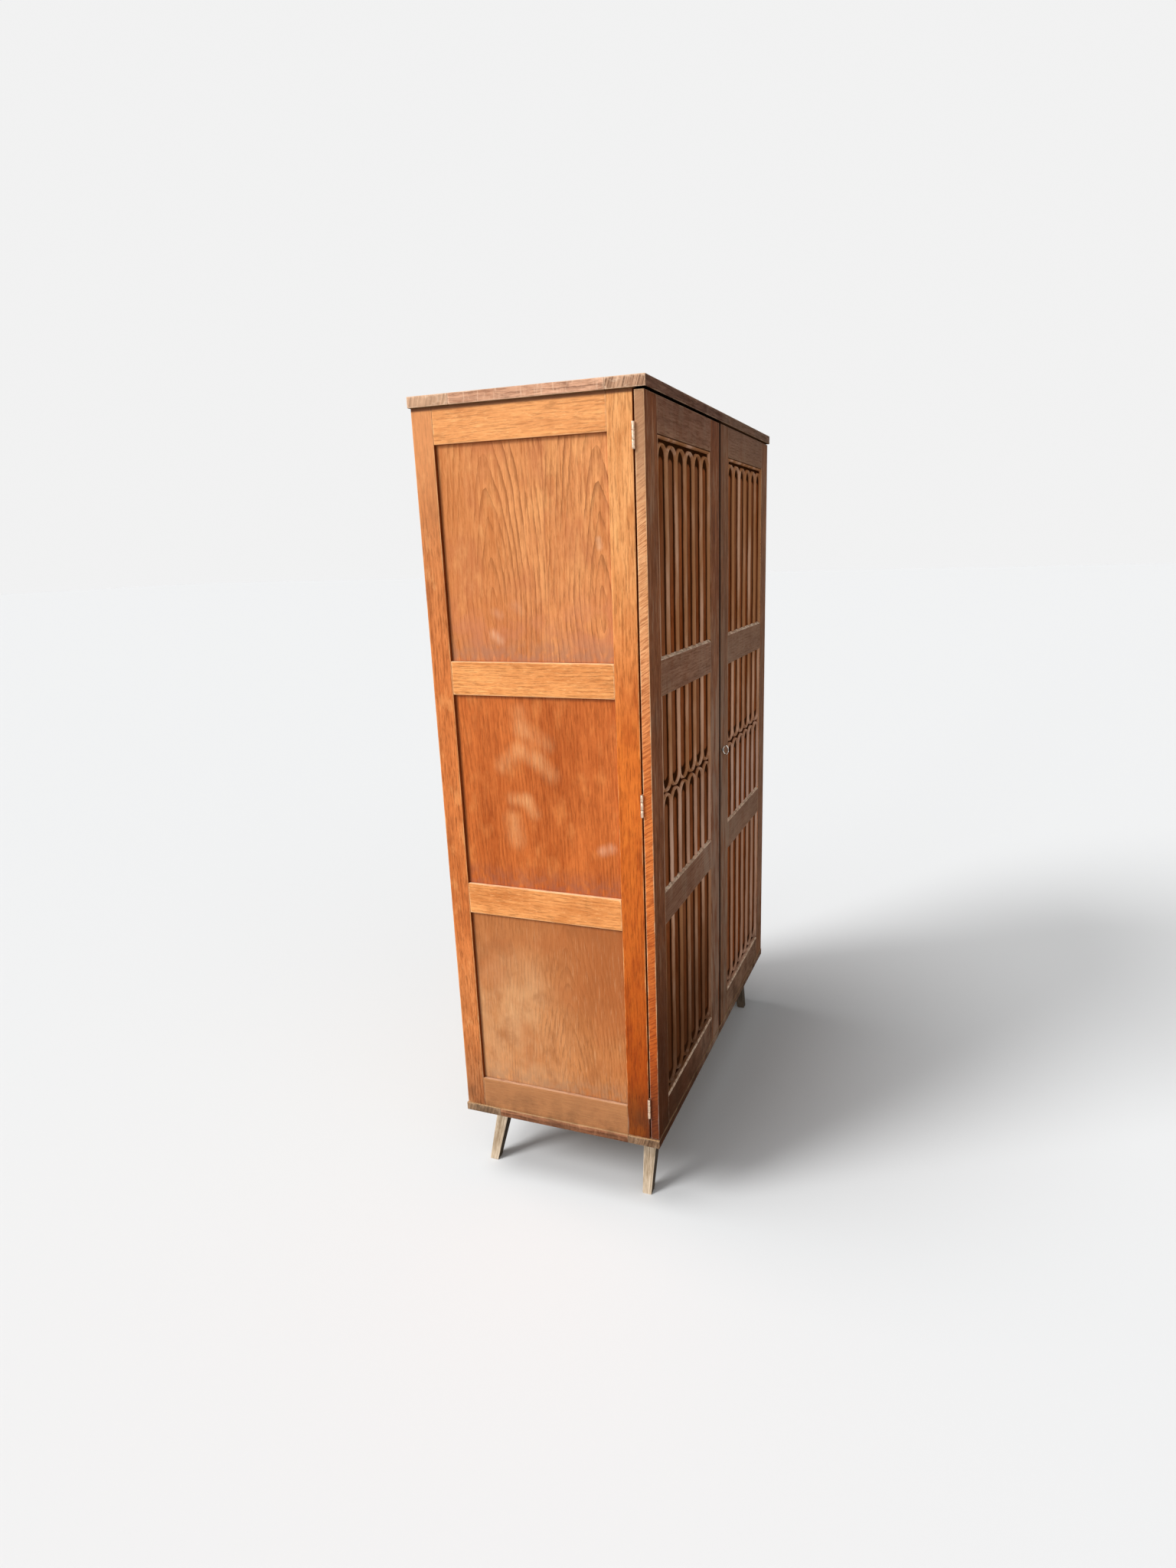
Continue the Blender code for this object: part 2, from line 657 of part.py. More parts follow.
def build_hinge(side, level, middle, look):
    """A butt hinge: the carcass leaf carries two knuckles and the pin, the door leaf one."""
    name = f"{edge_name(side)}_hinge_{level}"
    axis_x = side * HINGE_X
    third = HINGE_LENGTH / 3
    plate_xs = (axis_x, axis_x - side * LEAF_WIDTH)
    notch_xs = (axis_x + side * KNUCKLE_RADIUS, axis_x - side * (KNUCKLE_RADIUS + CLEARANCE))
    ends = (middle - HINGE_LENGTH / 2, middle + HINGE_LENGTH / 2)
    centre = (middle - third / 2, middle + third / 2)
    play = HINGE_GAP / 2 - CLEARANCE - LEAF_THICKNESS
    fixed_ys = (HINGE_Y + play, HINGE_Y + play + LEAF_THICKNESS)
    swung_ys = (HINGE_Y - play - LEAF_THICKNESS, HINGE_Y - play)
    fixed = part(name + "_carcass_leaf", box(plate_xs, fixed_ys, ends), look, smooth=True)
    cut(fixed, box(notch_xs, widen(fixed_ys, LEAF_THICKNESS), widen(centre, CLEARANCE)))
    for low in (ends[0], centre[1] + CLEARANCE):
        height = third - CLEARANCE
        place = (axis_x, HINGE_Y, low + height / 2)
        join(fixed, cylinder(place, KNUCKLE_RADIUS, height, "Z", HINGE_SIDES))
    pin_length = HINGE_LENGTH - third
    join(fixed, cylinder((axis_x, HINGE_Y, middle), PIN_RADIUS, pin_length, "Z", HINGE_SIDES))
    pivot = (axis_x, HINGE_Y, middle)
    swung = part(name + "_door_leaf", box(plate_xs, swung_ys, ends), look, pivot, smooth=True)
    for zs in ((ends[0], centre[0]), (centre[1], ends[1])):
        cut(swung, box(notch_xs, widen(swung_ys, LEAF_THICKNESS), widen(zs, CLEARANCE)))
    height = third - 2 * CLEARANCE
    join(swung, cylinder(pivot, KNUCKLE_RADIUS, height, "Z", HINGE_SIDES))
    cut(swung, cylinder(pivot, PIN_RADIUS + CLEARANCE, HINGE_LENGTH, "Z", HINGE_SIDES))


def build_lock(stile, case_look, key_look):
    """A surface lock behind the right door's inner stile, its bolt, and the key in front."""
    key_x = DOOR_EDGE + KEY_FROM_EDGE
    axis = (key_x, DOOR_FACE, LOCK_Z)
    case_front = DOOR_BACK + CLEARANCE
    case_ys = (case_front, case_front + LOCK_DEPTH)
    case_xs = (DOOR_EDGE + CLEARANCE, DOOR_EDGE + CLEARANCE + LOCK_WIDTH)
    case_zs = widen((LOCK_Z, LOCK_Z), LOCK_HEIGHT / 2)
    pivot = (HINGE_X, HINGE_Y, DOOR_LOW)
    case = part("lock_case", box(case_xs, case_ys, case_zs), case_look, pivot)
    bolt_middle = LOCK_Z + BOLT_RISE
    bolt_zs = widen((bolt_middle, bolt_middle), BOLT_WIDTH / 2)
    bolt_front = case_front + CLEARANCE + LEAF_THICKNESS
    bolt_ys = (bolt_front, bolt_front + BOLT_THICKNESS)
    bolt_xs = (case_xs[0] + CLEARANCE, case_xs[0] + CLEARANCE + BOLT_LENGTH)
    part("lock_bolt", box(bolt_xs, bolt_ys, bolt_zs), key_look, (bolt_xs[0], bolt_ys[0], bolt_middle))
    slot_xs = (case_xs[0] - BOLT_LENGTH, bolt_xs[1] + CLEARANCE)
    cut(case, box(slot_xs, widen(bolt_ys, CLEARANCE), widen(bolt_zs, CLEARANCE)))
    chamber = KEY_BIT_WIDTH + 3 * CLEARANCE
    chamber_radius = KEY_BIT_REACH + KEYHOLE_PLAY
    place = (key_x, case_front, LOCK_Z)
    cut(case, cylinder(place, chamber_radius, chamber * 2, "Y", ROD_SIDES))
    hole_radius = KEY_SHANK_RADIUS + KEYHOLE_PLAY
    cut(stile, cylinder((key_x, DOOR_BACK, LOCK_Z), hole_radius, DOOR_THICKNESS * 4, "Y", DOWEL_SIDES))
    slot = widen((key_x, key_x), KEY_BIT_THICKNESS / 2 + KEYHOLE_PLAY)
    slot_zs = (LOCK_Z - KEY_BIT_REACH - KEYHOLE_PLAY, LOCK_Z)
    cut(stile, box(slot, widen((DOOR_FACE, DOOR_BACK), DOOR_THICKNESS), slot_zs))
    collar_back = DOOR_FACE - KEY_STANDOFF
    collar_middle = collar_back - KEY_COLLAR_LENGTH / 2
    bow_middle = collar_back - KEY_COLLAR_LENGTH - KEY_BOW_LENGTH / 2
    bow = bmesh.new()
    bmesh.ops.create_circle(bow, segments=WIRE_SIDES, radius=KEY_WIRE_RADIUS)
    bmesh.ops.translate(bow, vec=(0, KEY_BOW_HEIGHT / 2 - KEY_WIRE_RADIUS, 0), verts=bow.verts)
    bmesh.ops.spin(
        bow,
        geom=bow.verts[:] + bow.edges[:],
        cent=(0, 0, 0),
        axis=(1, 0, 0),
        angle=math.tau,
        steps=BOW_STEPS,
        use_merge=True,
    )
    bmesh.ops.scale(bow, vec=(1, KEY_BOW_LENGTH / KEY_BOW_HEIGHT, 1), verts=bow.verts)
    bmesh.ops.translate(bow, vec=(key_x, bow_middle, LOCK_Z), verts=bow.verts)
    key = part("key", bow, key_look, axis, smooth=True)
    collar_place = (key_x, collar_middle, LOCK_Z)
    join(key, cylinder(collar_place, KEY_COLLAR_RADIUS, KEY_COLLAR_LENGTH, "Y", DOWEL_SIDES))
    shank_front = collar_back - KEY_COLLAR_LENGTH - KEY_WIRE_RADIUS
    shank_back = case_front + KEY_BIT_WIDTH + CLEARANCE
    shank_middle = (key_x, (shank_front + shank_back) / 2, LOCK_Z)
    join(key, cylinder(shank_middle, KEY_SHANK_RADIUS, shank_back - shank_front, "Y", HINGE_SIDES))
    bit_xs = widen((key_x, key_x), KEY_BIT_THICKNESS / 2)
    bit_ys = (case_front + 2 * CLEARANCE, case_front + KEY_BIT_WIDTH)
    join(key, box(bit_xs, bit_ys, (LOCK_Z - KEY_BIT_REACH, LOCK_Z)))


def build():
    """Make every part of the wardrobe."""
    side_oak = material("oak_side_frame", (0.52, 0.22, 0.075), 0.5)
    side_panel_oak = material("oak_side_panel", (0.46, 0.17, 0.055), 0.5)
    slab_oak = material("oak_top_and_bottom", (0.38, 0.19, 0.09), 0.55)
    door_oak = material("oak_door_frame", (0.24, 0.12, 0.06), 0.5)
    carved_oak = material("oak_carved_panel", (0.27, 0.14, 0.07), 0.5)
    inner_wood = material("inside_wood", (0.50, 0.32, 0.17), 0.65)
    leg_wood = material("bare_leg_wood", (0.55, 0.42, 0.29), 0.7)
    brass = material("hinge_brass", (0.60, 0.42, 0.20), 0.4, 1.0)
    steel = material("key_steel", (0.62, 0.60, 0.57), 0.3, 1.0)
    iron = material("lock_iron", (0.14, 0.13, 0.12), 0.5, 1.0)

    top_zs = (CEILING_Z, CEILING_Z + TOP_THICKNESS)
    bottom_zs = (LEG_HEIGHT, FLOOR_Z)
    for side in (-1, 1):
        build_side(side, side_oak, side_panel_oak)
    build_slab("top", top_zs, (TOP_SIDE_LIP, TOP_FRONT_LIP, TOP_REAR_LIP), slab_oak, inner_wood)
    front, back = build_slab(
        "bottom",
        bottom_zs,
        (BOTTOM_SIDE_LIP, BOTTOM_FRONT_LIP, BOTTOM_REAR_LIP),
        slab_oak,
        inner_wood,
    )
    build_back(inner_wood)
    build_interior(inner_wood, inner_wood)
    hinge_levels = {
        "bottom": DOOR_LOW + HINGE_FROM_END,
        "middle": LOCK_Z,
        "top": DOOR_HIGH - HINGE_FROM_END,
    }
    for side in (-1, 1):
        build_leg(side, True, front, leg_wood)
        build_leg(side, False, back, leg_wood)
        stile = build_door(side, door_oak, carved_oak)
        for level, middle in hinge_levels.items():
            build_hinge(side, level, middle, brass)
    build_lock(stile, iron, steel)


build()
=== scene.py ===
# %% [markdown]
# # An oak wardrobe with carved doors
# This lesson dresses a finished solid model of a wardrobe. The model comes in as a fixed frame:
# its parts already have the right size and place, and they already swing and slide. What is left
# is the look, so each step takes one piece or one finish, says what it is on the real wardrobe,
# and shows one way to make it in Blender.

# %% Load the frame
import json
import math

import bmesh
import bpy
from mathutils import Matrix, Vector, noise

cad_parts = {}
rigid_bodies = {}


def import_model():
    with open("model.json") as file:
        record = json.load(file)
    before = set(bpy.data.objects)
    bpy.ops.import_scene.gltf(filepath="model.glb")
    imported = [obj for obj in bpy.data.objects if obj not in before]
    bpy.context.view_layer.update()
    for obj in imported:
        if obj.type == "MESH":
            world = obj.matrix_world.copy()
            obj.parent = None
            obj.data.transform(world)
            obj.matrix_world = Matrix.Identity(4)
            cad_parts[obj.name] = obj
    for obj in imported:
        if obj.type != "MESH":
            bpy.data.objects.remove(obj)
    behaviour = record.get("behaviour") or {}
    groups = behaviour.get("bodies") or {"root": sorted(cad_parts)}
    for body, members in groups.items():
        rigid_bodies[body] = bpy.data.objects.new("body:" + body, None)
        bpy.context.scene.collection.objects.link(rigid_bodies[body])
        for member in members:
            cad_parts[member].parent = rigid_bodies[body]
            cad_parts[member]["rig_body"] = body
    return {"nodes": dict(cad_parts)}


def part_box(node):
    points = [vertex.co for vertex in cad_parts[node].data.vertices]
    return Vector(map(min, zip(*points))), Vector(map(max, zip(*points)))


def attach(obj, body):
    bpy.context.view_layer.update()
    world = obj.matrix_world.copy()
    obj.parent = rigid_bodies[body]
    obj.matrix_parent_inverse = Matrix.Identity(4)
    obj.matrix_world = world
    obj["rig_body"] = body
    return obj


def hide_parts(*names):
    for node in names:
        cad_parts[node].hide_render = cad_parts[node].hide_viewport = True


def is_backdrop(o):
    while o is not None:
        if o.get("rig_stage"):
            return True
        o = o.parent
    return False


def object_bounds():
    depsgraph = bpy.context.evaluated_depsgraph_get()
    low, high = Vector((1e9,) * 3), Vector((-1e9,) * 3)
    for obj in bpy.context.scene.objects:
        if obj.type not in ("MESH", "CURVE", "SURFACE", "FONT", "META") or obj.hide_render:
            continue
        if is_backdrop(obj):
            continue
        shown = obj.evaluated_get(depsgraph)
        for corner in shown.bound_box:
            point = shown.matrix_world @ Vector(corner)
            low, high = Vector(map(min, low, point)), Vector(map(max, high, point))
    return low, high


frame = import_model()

scene = bpy.context.scene
scene.view_settings.view_transform = "Standard"
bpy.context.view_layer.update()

# %% [markdown]
# ## Measures
# Everything below hangs on a few planes of the wardrobe: the face and the back of the doors, the
# inside floor and ceiling, and the underside that the legs meet. They are read from the frame, so
# the looks follow if the solid model changes. Pieces of wood that meet are kept 0.3 mm apart.

# %% Read the main planes
face_y, door_back_y = (corner.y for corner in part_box("left_door_outer_stile"))
leg_z, floor_z = (corner.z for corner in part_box("bottom_front_rail"))
ceiling_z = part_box("top_front_rail")[0].z
GAP = 0.0003
print("door face", face_y, "floor and ceiling", floor_z, ceiling_z)

# %% [markdown]
# ## Camera
# The picture was taken from the left, close to the line of the doors, by a person who stands. A
# camera could be aimed with a target, but the picture also rolls a little, so the three directions
# of the camera are given and turned into a matrix.

# %% Set up the camera
EYE = Vector((-2.2948, -0.5987, 1.3364))
RIGHT = Vector((0.35043, -0.93616, -0.0285)).normalized()
FORWARD = Vector((0.90007, 0.34502, -0.26616)).normalized()
FOCAL_PIXELS = 1180.8
CENTRE_PIXELS = (813.5, 1047.2)
IMAGE_PIXELS = (1536, 2048)
SENSOR = 36.0


def put(name, data):
    """A new object in the scene."""
    made = bpy.data.objects.new(name, data)
    scene.collection.objects.link(made)
    return made


up = RIGHT.cross(FORWARD).normalized()
aim = Matrix((RIGHT, up, -FORWARD)).transposed().to_4x4()
aim.translation = EYE + Vector((0, face_y, floor_z))
lens = bpy.data.cameras.new("camera")
lens.sensor_fit = "HORIZONTAL"
lens.sensor_width = SENSOR
lens.lens = FOCAL_PIXELS / IMAGE_PIXELS[0] * SENSOR
lens.shift_x = (IMAGE_PIXELS[0] / 2 - CENTRE_PIXELS[0]) / IMAGE_PIXELS[0]
lens.shift_y = (CENTRE_PIXELS[1] - IMAGE_PIXELS[1] / 2) / IMAGE_PIXELS[0]
camera = put("camera", lens)
camera.matrix_world = aim
scene.camera = camera
print("camera", tuple(camera.location), "lens", lens.lens)

# %% [markdown]
# ## Wiring helpers
# A finish is a tree of nodes. Wired by hand in the editor it is quick to read, but in code each
# node takes several lines. These helpers add a node and link it in one line. A socket knows the
# tree that it is in, so most of them need no more than the values they work on.

# %% Helpers for node trees
def feed(tree, node, values):
    """Set a node's inputs by name or number: sockets are linked, and other values are stored."""
    for key, value in values.items():
        if isinstance(value, bpy.types.NodeSocket):
            tree.links.new(value, node.inputs[key])
        else:
            node.inputs[key].default_value = value


def wire(tree, kind, values=None, **settings):
    """Add a node with its settings and its inputs."""
    made = tree.nodes.new("ShaderNode" + kind)
    for key, value in settings.items():
        setattr(made, key, value)
    feed(tree, made, values or {})
    return made


def tree_of(values):
    """The tree of the first socket among some values."""
    return next(value.id_data for value in values if isinstance(value, bpy.types.NodeSocket))


def calc(operation, *values, clamp=False):
    """A Math node's result."""
    inputs = dict(enumerate(values))
    return wire(tree_of(values), "Math", inputs, operation=operation, use_clamp=clamp).outputs[0]


def add(first, *others):
    """The sum of values."""
    for other in others:
        first = calc("ADD", first, other)
    return first


def times(first, *others):
    """The product of values."""
    for other in others:
        first = calc("MULTIPLY", first, other)
    return first


def vector(operation, first, second, output=0):
    """A Vector Math node's result; output 1 is its number."""
    inputs = {0: first, 3 if operation == "SCALE" else 1: second}
    return wire(first.id_data, "VectorMath", inputs, operation=operation).outputs[output]


def split(whole):
    """The X, Y and Z of a vector."""
    return wire(whole.id_data, "SeparateXYZ", {0: whole}).outputs


def join(*axes):
    """A vector from its X, Y and Z."""
    return wire(tree_of(axes), "CombineXYZ", dict(enumerate(axes))).outputs[0]


def soft_step(value, low, high):
    """0 below low, 1 above high, with a soft rise between; low may be above high."""
    values = {"Value": value, "From Min": low, "From Max": high}
    return wire(value.id_data, "MapRange", values, interpolation_type="SMOOTHSTEP").outputs["Result"]


def blend(factor, first, second, how="MIX"):
    """A mix of two colours."""
    values = {0: factor, 6: first, 7: second}
    return wire(factor.id_data, "Mix", values, data_type="RGBA", blend_type=how).outputs[2]


def cloud(place, factors, detail=3.0, roughness=0.55):
    """Noise from 0 to 1, with so many swells to a metre along each axis."""
    stretched = vector("MULTIPLY", place, factors)
    values = {"Vector": stretched, "Scale": 1.0, "Detail": detail, "Roughness": roughness}
    return wire(place.id_data, "TexNoise", values).outputs["Fac"]


def new_group(name, inputs, outputs):
    """A node group and its two ends; an input with no start value is a vector."""
    tree = bpy.data.node_groups.new(name, "ShaderNodeTree")
    for label, value in inputs.items():
        kind = "NodeSocketVector" if value is None else "NodeSocketFloat"
        socket = tree.interface.new_socket(label, in_out="INPUT", socket_type=kind)
        if value is not None:
            socket.default_value = value
    for label in outputs:
        tree.interface.new_socket(label, in_out="OUTPUT", socket_type="NodeSocketFloat")
    return tree, tree.nodes.new("NodeGroupInput").outputs, tree.nodes.new("NodeGroupOutput")


def start_look(name, roughness, metallic=0.0):
    """A new material, its tree and its shader, with the even values set on the shader."""
    look = bpy.data.materials.new(name)
    look.use_nodes = True
    shader = look.node_tree.nodes["Principled BSDF"]
    feed(look.node_tree, shader, {"Roughness": roughness, "Metallic": metallic})
    return look, look.node_tree, shader


print("helpers ready")

# %% [markdown]
# ## Light and floor
# The wardrobe stands in soft light from behind its left side, and its shadow falls to the front
# and right, dark by the legs and fainter further out. Two wide sun lamps give that: a high one
# makes the short dark part, and a low one the long faint part. A third one shines almost level on
# the left side and leaves no shadow on the floor to speak of. Suns also light the floor evenly
# as far as the horizon, so the floor and the background can share one pale tone. The sky fills the
# shadows, and it is brighter on the left, which lights the near flanks of the carving. The floor
# throws back less light than it shows, so that the doors stay in the shade.

# %% Floor, suns and sky
SUNS = {
    "high_sun": (Vector((-0.15, 0.28, 0.948)), math.radians(30), 1.33),
    "low_sun": (Vector((-0.55, 0.573, 0.608)), math.radians(22), 2.3),
    "side_sun": (Vector((-0.97, 0.22, 0.05)), math.radians(10), 0.6),
}
SKY_SIDE = Vector((-0.95, -0.12, 0.28))
SKY_BRIGHT = 0.9
SKY_DIM = 0.145
BACKDROP = 0.885
WHITE = (1.0, 1.0, 1.0, 1.0)
FLOOR_SEEN = (0.709, 0.715, 0.719, 1.0)
FLOOR_BOUNCE = (0.33, 0.33, 0.33, 1.0)
FLOOR_REACH = 60.0


def ray_is_seen(tree):
    """1 for what the camera sees, directly, mirrored or through glass."""
    path = wire(tree, "LightPath").outputs
    seen = calc("MAXIMUM", path["Is Camera Ray"], path["Is Glossy Ray"])
    return calc("MAXIMUM", seen, path["Is Transmission Ray"])


def as_mesh(name, shape):
    """A mesh from a bmesh, which is freed."""
    mesh = bpy.data.meshes.new(name)
    shape.to_mesh(mesh)
    shape.free()
    return mesh


world = bpy.data.worlds.new("studio")
scene.world = world
world.use_nodes = True
sky = world.node_tree
heading = wire(sky, "TexCoord").outputs["Generated"]
glow = soft_step(vector("DOT_PRODUCT", heading, SKY_SIDE.normalized(), 1), 0.0, 0.95)
fill = wire(sky, "MapRange", {"Value": glow, "To Min": SKY_DIM, "To Max": SKY_BRIGHT})
level = wire(sky, "Mix", {0: ray_is_seen(sky), 2: fill.outputs["Result"], 3: BACKDROP})
feed(sky, sky.nodes["Background"], {"Color": WHITE, "Strength": level.outputs[0]})

for name, (source, width, strength) in SUNS.items():
    sun = bpy.data.lights.new(name, "SUN")
    sun.energy = strength
    sun.angle = width
    put(name, sun).rotation_euler = source.to_track_quat("Z", "Y").to_euler()

floor_look, floor_tree, floor_shader = start_look("pale_floor", 1.0)
floor_colour = blend(ray_is_seen(floor_tree), FLOOR_BOUNCE, FLOOR_SEEN)
feed(floor_tree, floor_shader, {"Base Color": floor_colour, "Specular IOR Level": 0.0})
ground = bmesh.new()
bmesh.ops.create_grid(ground, x_segments=1, y_segments=1, size=FLOOR_REACH)
floor = put("floor", as_mesh("floor", ground))
floor.data.materials.append(floor_look)
floor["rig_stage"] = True
print("suns", list(SUNS), "sky from", SKY_DIM, "to", SKY_BRIGHT)

# %% [markdown]
# ## Oak
# Oak shows three things at arm's length: growth rings that draw lines or arches, streaks of tone,
# and short dark pores along the grain. A picture of oak would show them but would repeat and
# stretch at the edges. Here they are worked out in three dimensions from a vector whose third axis
# runs along the board's own grain. The rings are shells around a line that leans through the
# board: a steep lean draws nested arches, and no lean draws straight lines.

# %% The oak group
def make_oak_group():
    """Rings, streaks and pores of a board, from its grain vector."""
    inputs = {"Grain": None, "Ring gap": 0.007, "Lean": 0.0, "Warp": 0.012}
    tree, given, result = new_group("oak", inputs, ["Rings", "Streaks", "Pores", "Height"])
    grain = given["Grain"]
    stretched = vector("MULTIPLY", grain, (9, 9, 3.5))
    swell = wire(tree, "TexNoise", {"Vector": stretched, "Scale": 1.0, "Detail": 2.5})
    drift = vector("SUBTRACT", swell.outputs["Color"], (0.5, 0.5, 0.5))
    axes = split(vector("ADD", grain, vector("SCALE", drift, given["Warp"])))
    depth = add(times(axes["Z"], given["Lean"]), axes["Y"])
    across = calc("POWER", calc("ABSOLUTE", axes["X"]), 1.5)
    behind = calc("POWER", calc("ABSOLUTE", depth), 1.5)
    radius = calc("POWER", add(across, behind), 0.667)
    jitter = times(cloud(grain, (60, 60, 24), 4.0, 0.6), 0.005)
    turns = calc("DIVIDE", add(radius, jitter), given["Ring gap"])
    faint = soft_step(cloud(grain, (30, 30, 9)), 0.3, 0.62)
    rings = times(calc("POWER", calc("FRACT", turns), 3.2), faint)
    long_streak = cloud(grain, (210, 210, 6), 4.0, 0.66)
    broad = cloud(grain, (13, 13, 4.5), 4.0, 0.6)
    fleck = cloud(grain, (150, 150, 34), 4.0, 0.7)
    tone = add(times(long_streak, 0.34), times(broad, 0.38), times(fleck, 0.28))
    streaks = wire(tree, "MapRange", {"Value": tone, "From Min": 0.39, "From Max": 0.61})
    fine = cloud(grain, (330, 330, 32), 3.0, 0.66)
    pores = soft_step(add(fine, times(rings, 0.16)), 0.5, 0.68)
    height = calc("SUBTRACT", times(long_streak, 0.4), pores)
    feed(tree, result, {"Rings": rings, "Streaks": streaks.outputs["Result"]})
    feed(tree, result, {"Pores": pores, "Height": height})
    return tree


OAK = make_oak_group()
print("oak group nodes", len(OAK.nodes))

# %% [markdown]
# ## Wear and grime
# Hands, sleeves and cloths rub the finish off along edges, and dust and polish gather low down and
# in corners. Both could be painted, but a mask worked out from the piece itself follows any change.
# Every board carries a number that is 1 on its edges and 0 a few millimetres in, and noise breaks
# that line up into rubbed spots. The grime reads how high above the floor a point is.

# %% The wear and grime groups
def make_wear_group():
    """Rubbed edges: where the edge number is high, broken up by noise along the grain."""
    tree, given, result = new_group("edge_wear", {"Edge": 0.0, "Grain": None, "Reach": 0.5}, ["Mask"])
    patches = cloud(given["Grain"], (70, 70, 18), 4.0, 0.65)
    level = add(given["Edge"], times(patches, 1.3), given["Reach"])
    feed(tree, result, {"Mask": soft_step(level, 1.55, 2.15)})
    return tree


def make_grime_group():
    """Dark patches that grow towards the floor."""
    tree, given, result = new_group("grime", {"Place": None, "Top": 0.55, "Least": 0.1}, ["Mask"])
    low = add(soft_step(split(given["Place"])["Z"], given["Top"], 0.16), given["Least"])
    patches = soft_step(cloud(given["Place"], (16, 16, 12), 5.0, 0.66), 0.38, 0.7)
    feed(tree, result, {"Mask": calc("MULTIPLY", low, patches, clamp=True)})
    return tree


EDGE_WEAR = make_wear_group()
GRIME = make_grime_group()
print("wear and grime groups", len(EDGE_WEAR.nodes), len(GRIME.nodes))

# %% [markdown]
# ## How an oak finish is wired
# All the oak starts alike: two tones mixed by the streaks, then the rings and pores darken it. On
# top come layers, each a mask and a tint, the way a restorer would think of them: rubbed edges,
# grime, stains, dust. A small class keeps the tree and the colour so far, so that each finish
# below can be read as its list of layers.

# %% Layers on oak
OAK_GLOSS = 0.13
DOOR_GLOSS = 0.03


class Oak:
    """An oak finish while it is wired."""

    def __init__(self, name, dark, light, figure=None, gap=0.007, lean=0.0, warp=0.012, rings=0.5,
                 pores=0.5, rough=0.5, gloss=OAK_GLOSS):
        self.look, self.tree, self.shader = start_look(name, rough)
        self.shader.inputs["Specular IOR Level"].default_value = gloss
        self.grain = self.read("grain", "Vector")
        self.edge = self.read("edge", "Fac")
        self.place = wire(self.tree, "TexCoord").outputs["Object"]
        self.axes = split(self.place)
        figured = figure(self) if figure else self.grain
        self.oak = self.use(OAK, {"Grain": figured, "Ring gap": gap, "Lean": lean, "Warp": warp})
        self.colour = blend(self.oak["Streaks"], (*dark, 1.0), (*light, 1.0))
        shade = tuple(0.45 * level for level in dark)
        self.layer(self.oak["Rings"], shade, rings)
        self.layer(self.oak["Pores"], shade, pores)
        self.rough = add(times(self.oak["Pores"], 0.2), rough)

    def read(self, name, output):
        return wire(self.tree, "Attribute", attribute_name=name).outputs[output]

    def use(self, group, values):
        return wire(self.tree, "Group", values, node_tree=group).outputs

    def layer(self, mask, tint, share=1.0, how="MIX"):
        """Lay a tint over the colour where a mask says so."""
        factor = calc("MULTIPLY", mask, share, clamp=True)
        self.colour = blend(factor, self.colour, (*tint, 1.0), how)

    def rub(self, tint, reach=0.35, share=1.0):
        """Rubbed edges."""
        values = {"Edge": self.edge, "Grain": self.grain, "Reach": reach}
        self.layer(self.use(EDGE_WEAR, values)["Mask"], tint, share)

    def soil(self, top=0.5, least=0.1, tint=(0.05, 0.026, 0.014), share=0.6):
        """Grime that thickens towards the floor."""
        dirt = self.use(GRIME, {"Place": self.place, "Top": top, "Least": least})["Mask"]
        self.layer(dirt, tint, share)
        self.rough = calc("ADD", self.rough, times(dirt, 0.2), clamp=True)

    def spots(self, size, low, high):
        """A mask of soft-edged spots, with so many to a metre."""
        return soft_step(cloud(self.place, size, 4.0, 0.6), low, high)

    def ramp(self, axis, low, high):
        """A mask that rises softly from 0 to 1 between two places along an axis."""
        return soft_step(self.axes[axis], low, high)

    def spot(self, size, low, high, tint, share, how="MIX"):
        """A layer of spots."""
        self.layer(self.spots(size, low, high), tint, share, how)

    def tint(self, axis, low, high, tint, share):
        """A layer that comes in along an axis."""
        self.layer(self.ramp(axis, low, high), tint, share)

    def shade(self, axis, low, high, tint, share=1.0):
        """A layer that comes in along an axis and multiplies the colour."""
        self.layer(self.ramp(axis, low, high), tint, share, "MULTIPLY")

    def close(self):
        """Link the colour, the roughness and a bump to the shader."""
        values = {"Height": self.oak["Height"], "Strength": 0.35, "Distance": 0.0005}
        bump = wire(self.tree, "Bump", values).outputs[0]
        feed(self.tree, self.shader, {"Base Color": self.colour, "Roughness": self.rough, "Normal": bump})
        return self.look


print("oak class ready")

# %% [markdown]
# ## Frame oak
# The frames of the sides are orange-brown under old varnish. The stile next to the doors has gone
# deep red towards the floor, while the rails, which catch the light, have faded and show pale
# flecks. The boards at the bottom are greyer from mops and damp.

# %% Stiles and rails of the sides
def shade_under_top(oak):
    """The line of shade and dirt under the overhang of the top."""
    oak.tint("Z", ceiling_z - 0.01, ceiling_z - 0.005, (0.11, 0.036, 0.014), 0.9)


def front_stile_finish():
    oak = Oak("front_stile_oak", (0.62, 0.235, 0.065), (0.9, 0.42, 0.155), rings=0.12)
    oak.spot((45, 45, 20), 0.54, 0.7, (0.85, 0.42, 0.15), 0.4)
    oak.shade("Z", 1.62, 1.1, (0.8, 0.43, 0.15))
    oak.shade("Z", 0.95, 0.35, (0.64, 0.48, 0.2))
    oak.spot((30, 30, 10), 0.46, 0.72, (0.72, 0.58, 0.45), 0.8, "MULTIPLY")
    oak.spot((70, 70, 14), 0.5, 0.66, (0.8, 0.7, 0.6), 0.6, "MULTIPLY")
    oak.rub((0.85, 0.42, 0.16), 0.3)
    oak.shade("Z", 0.38, 0.25, (0.53, 0.66, 1.15))
    shade_under_top(oak)
    oak.soil(0.34, 0.02)
    return oak.close()


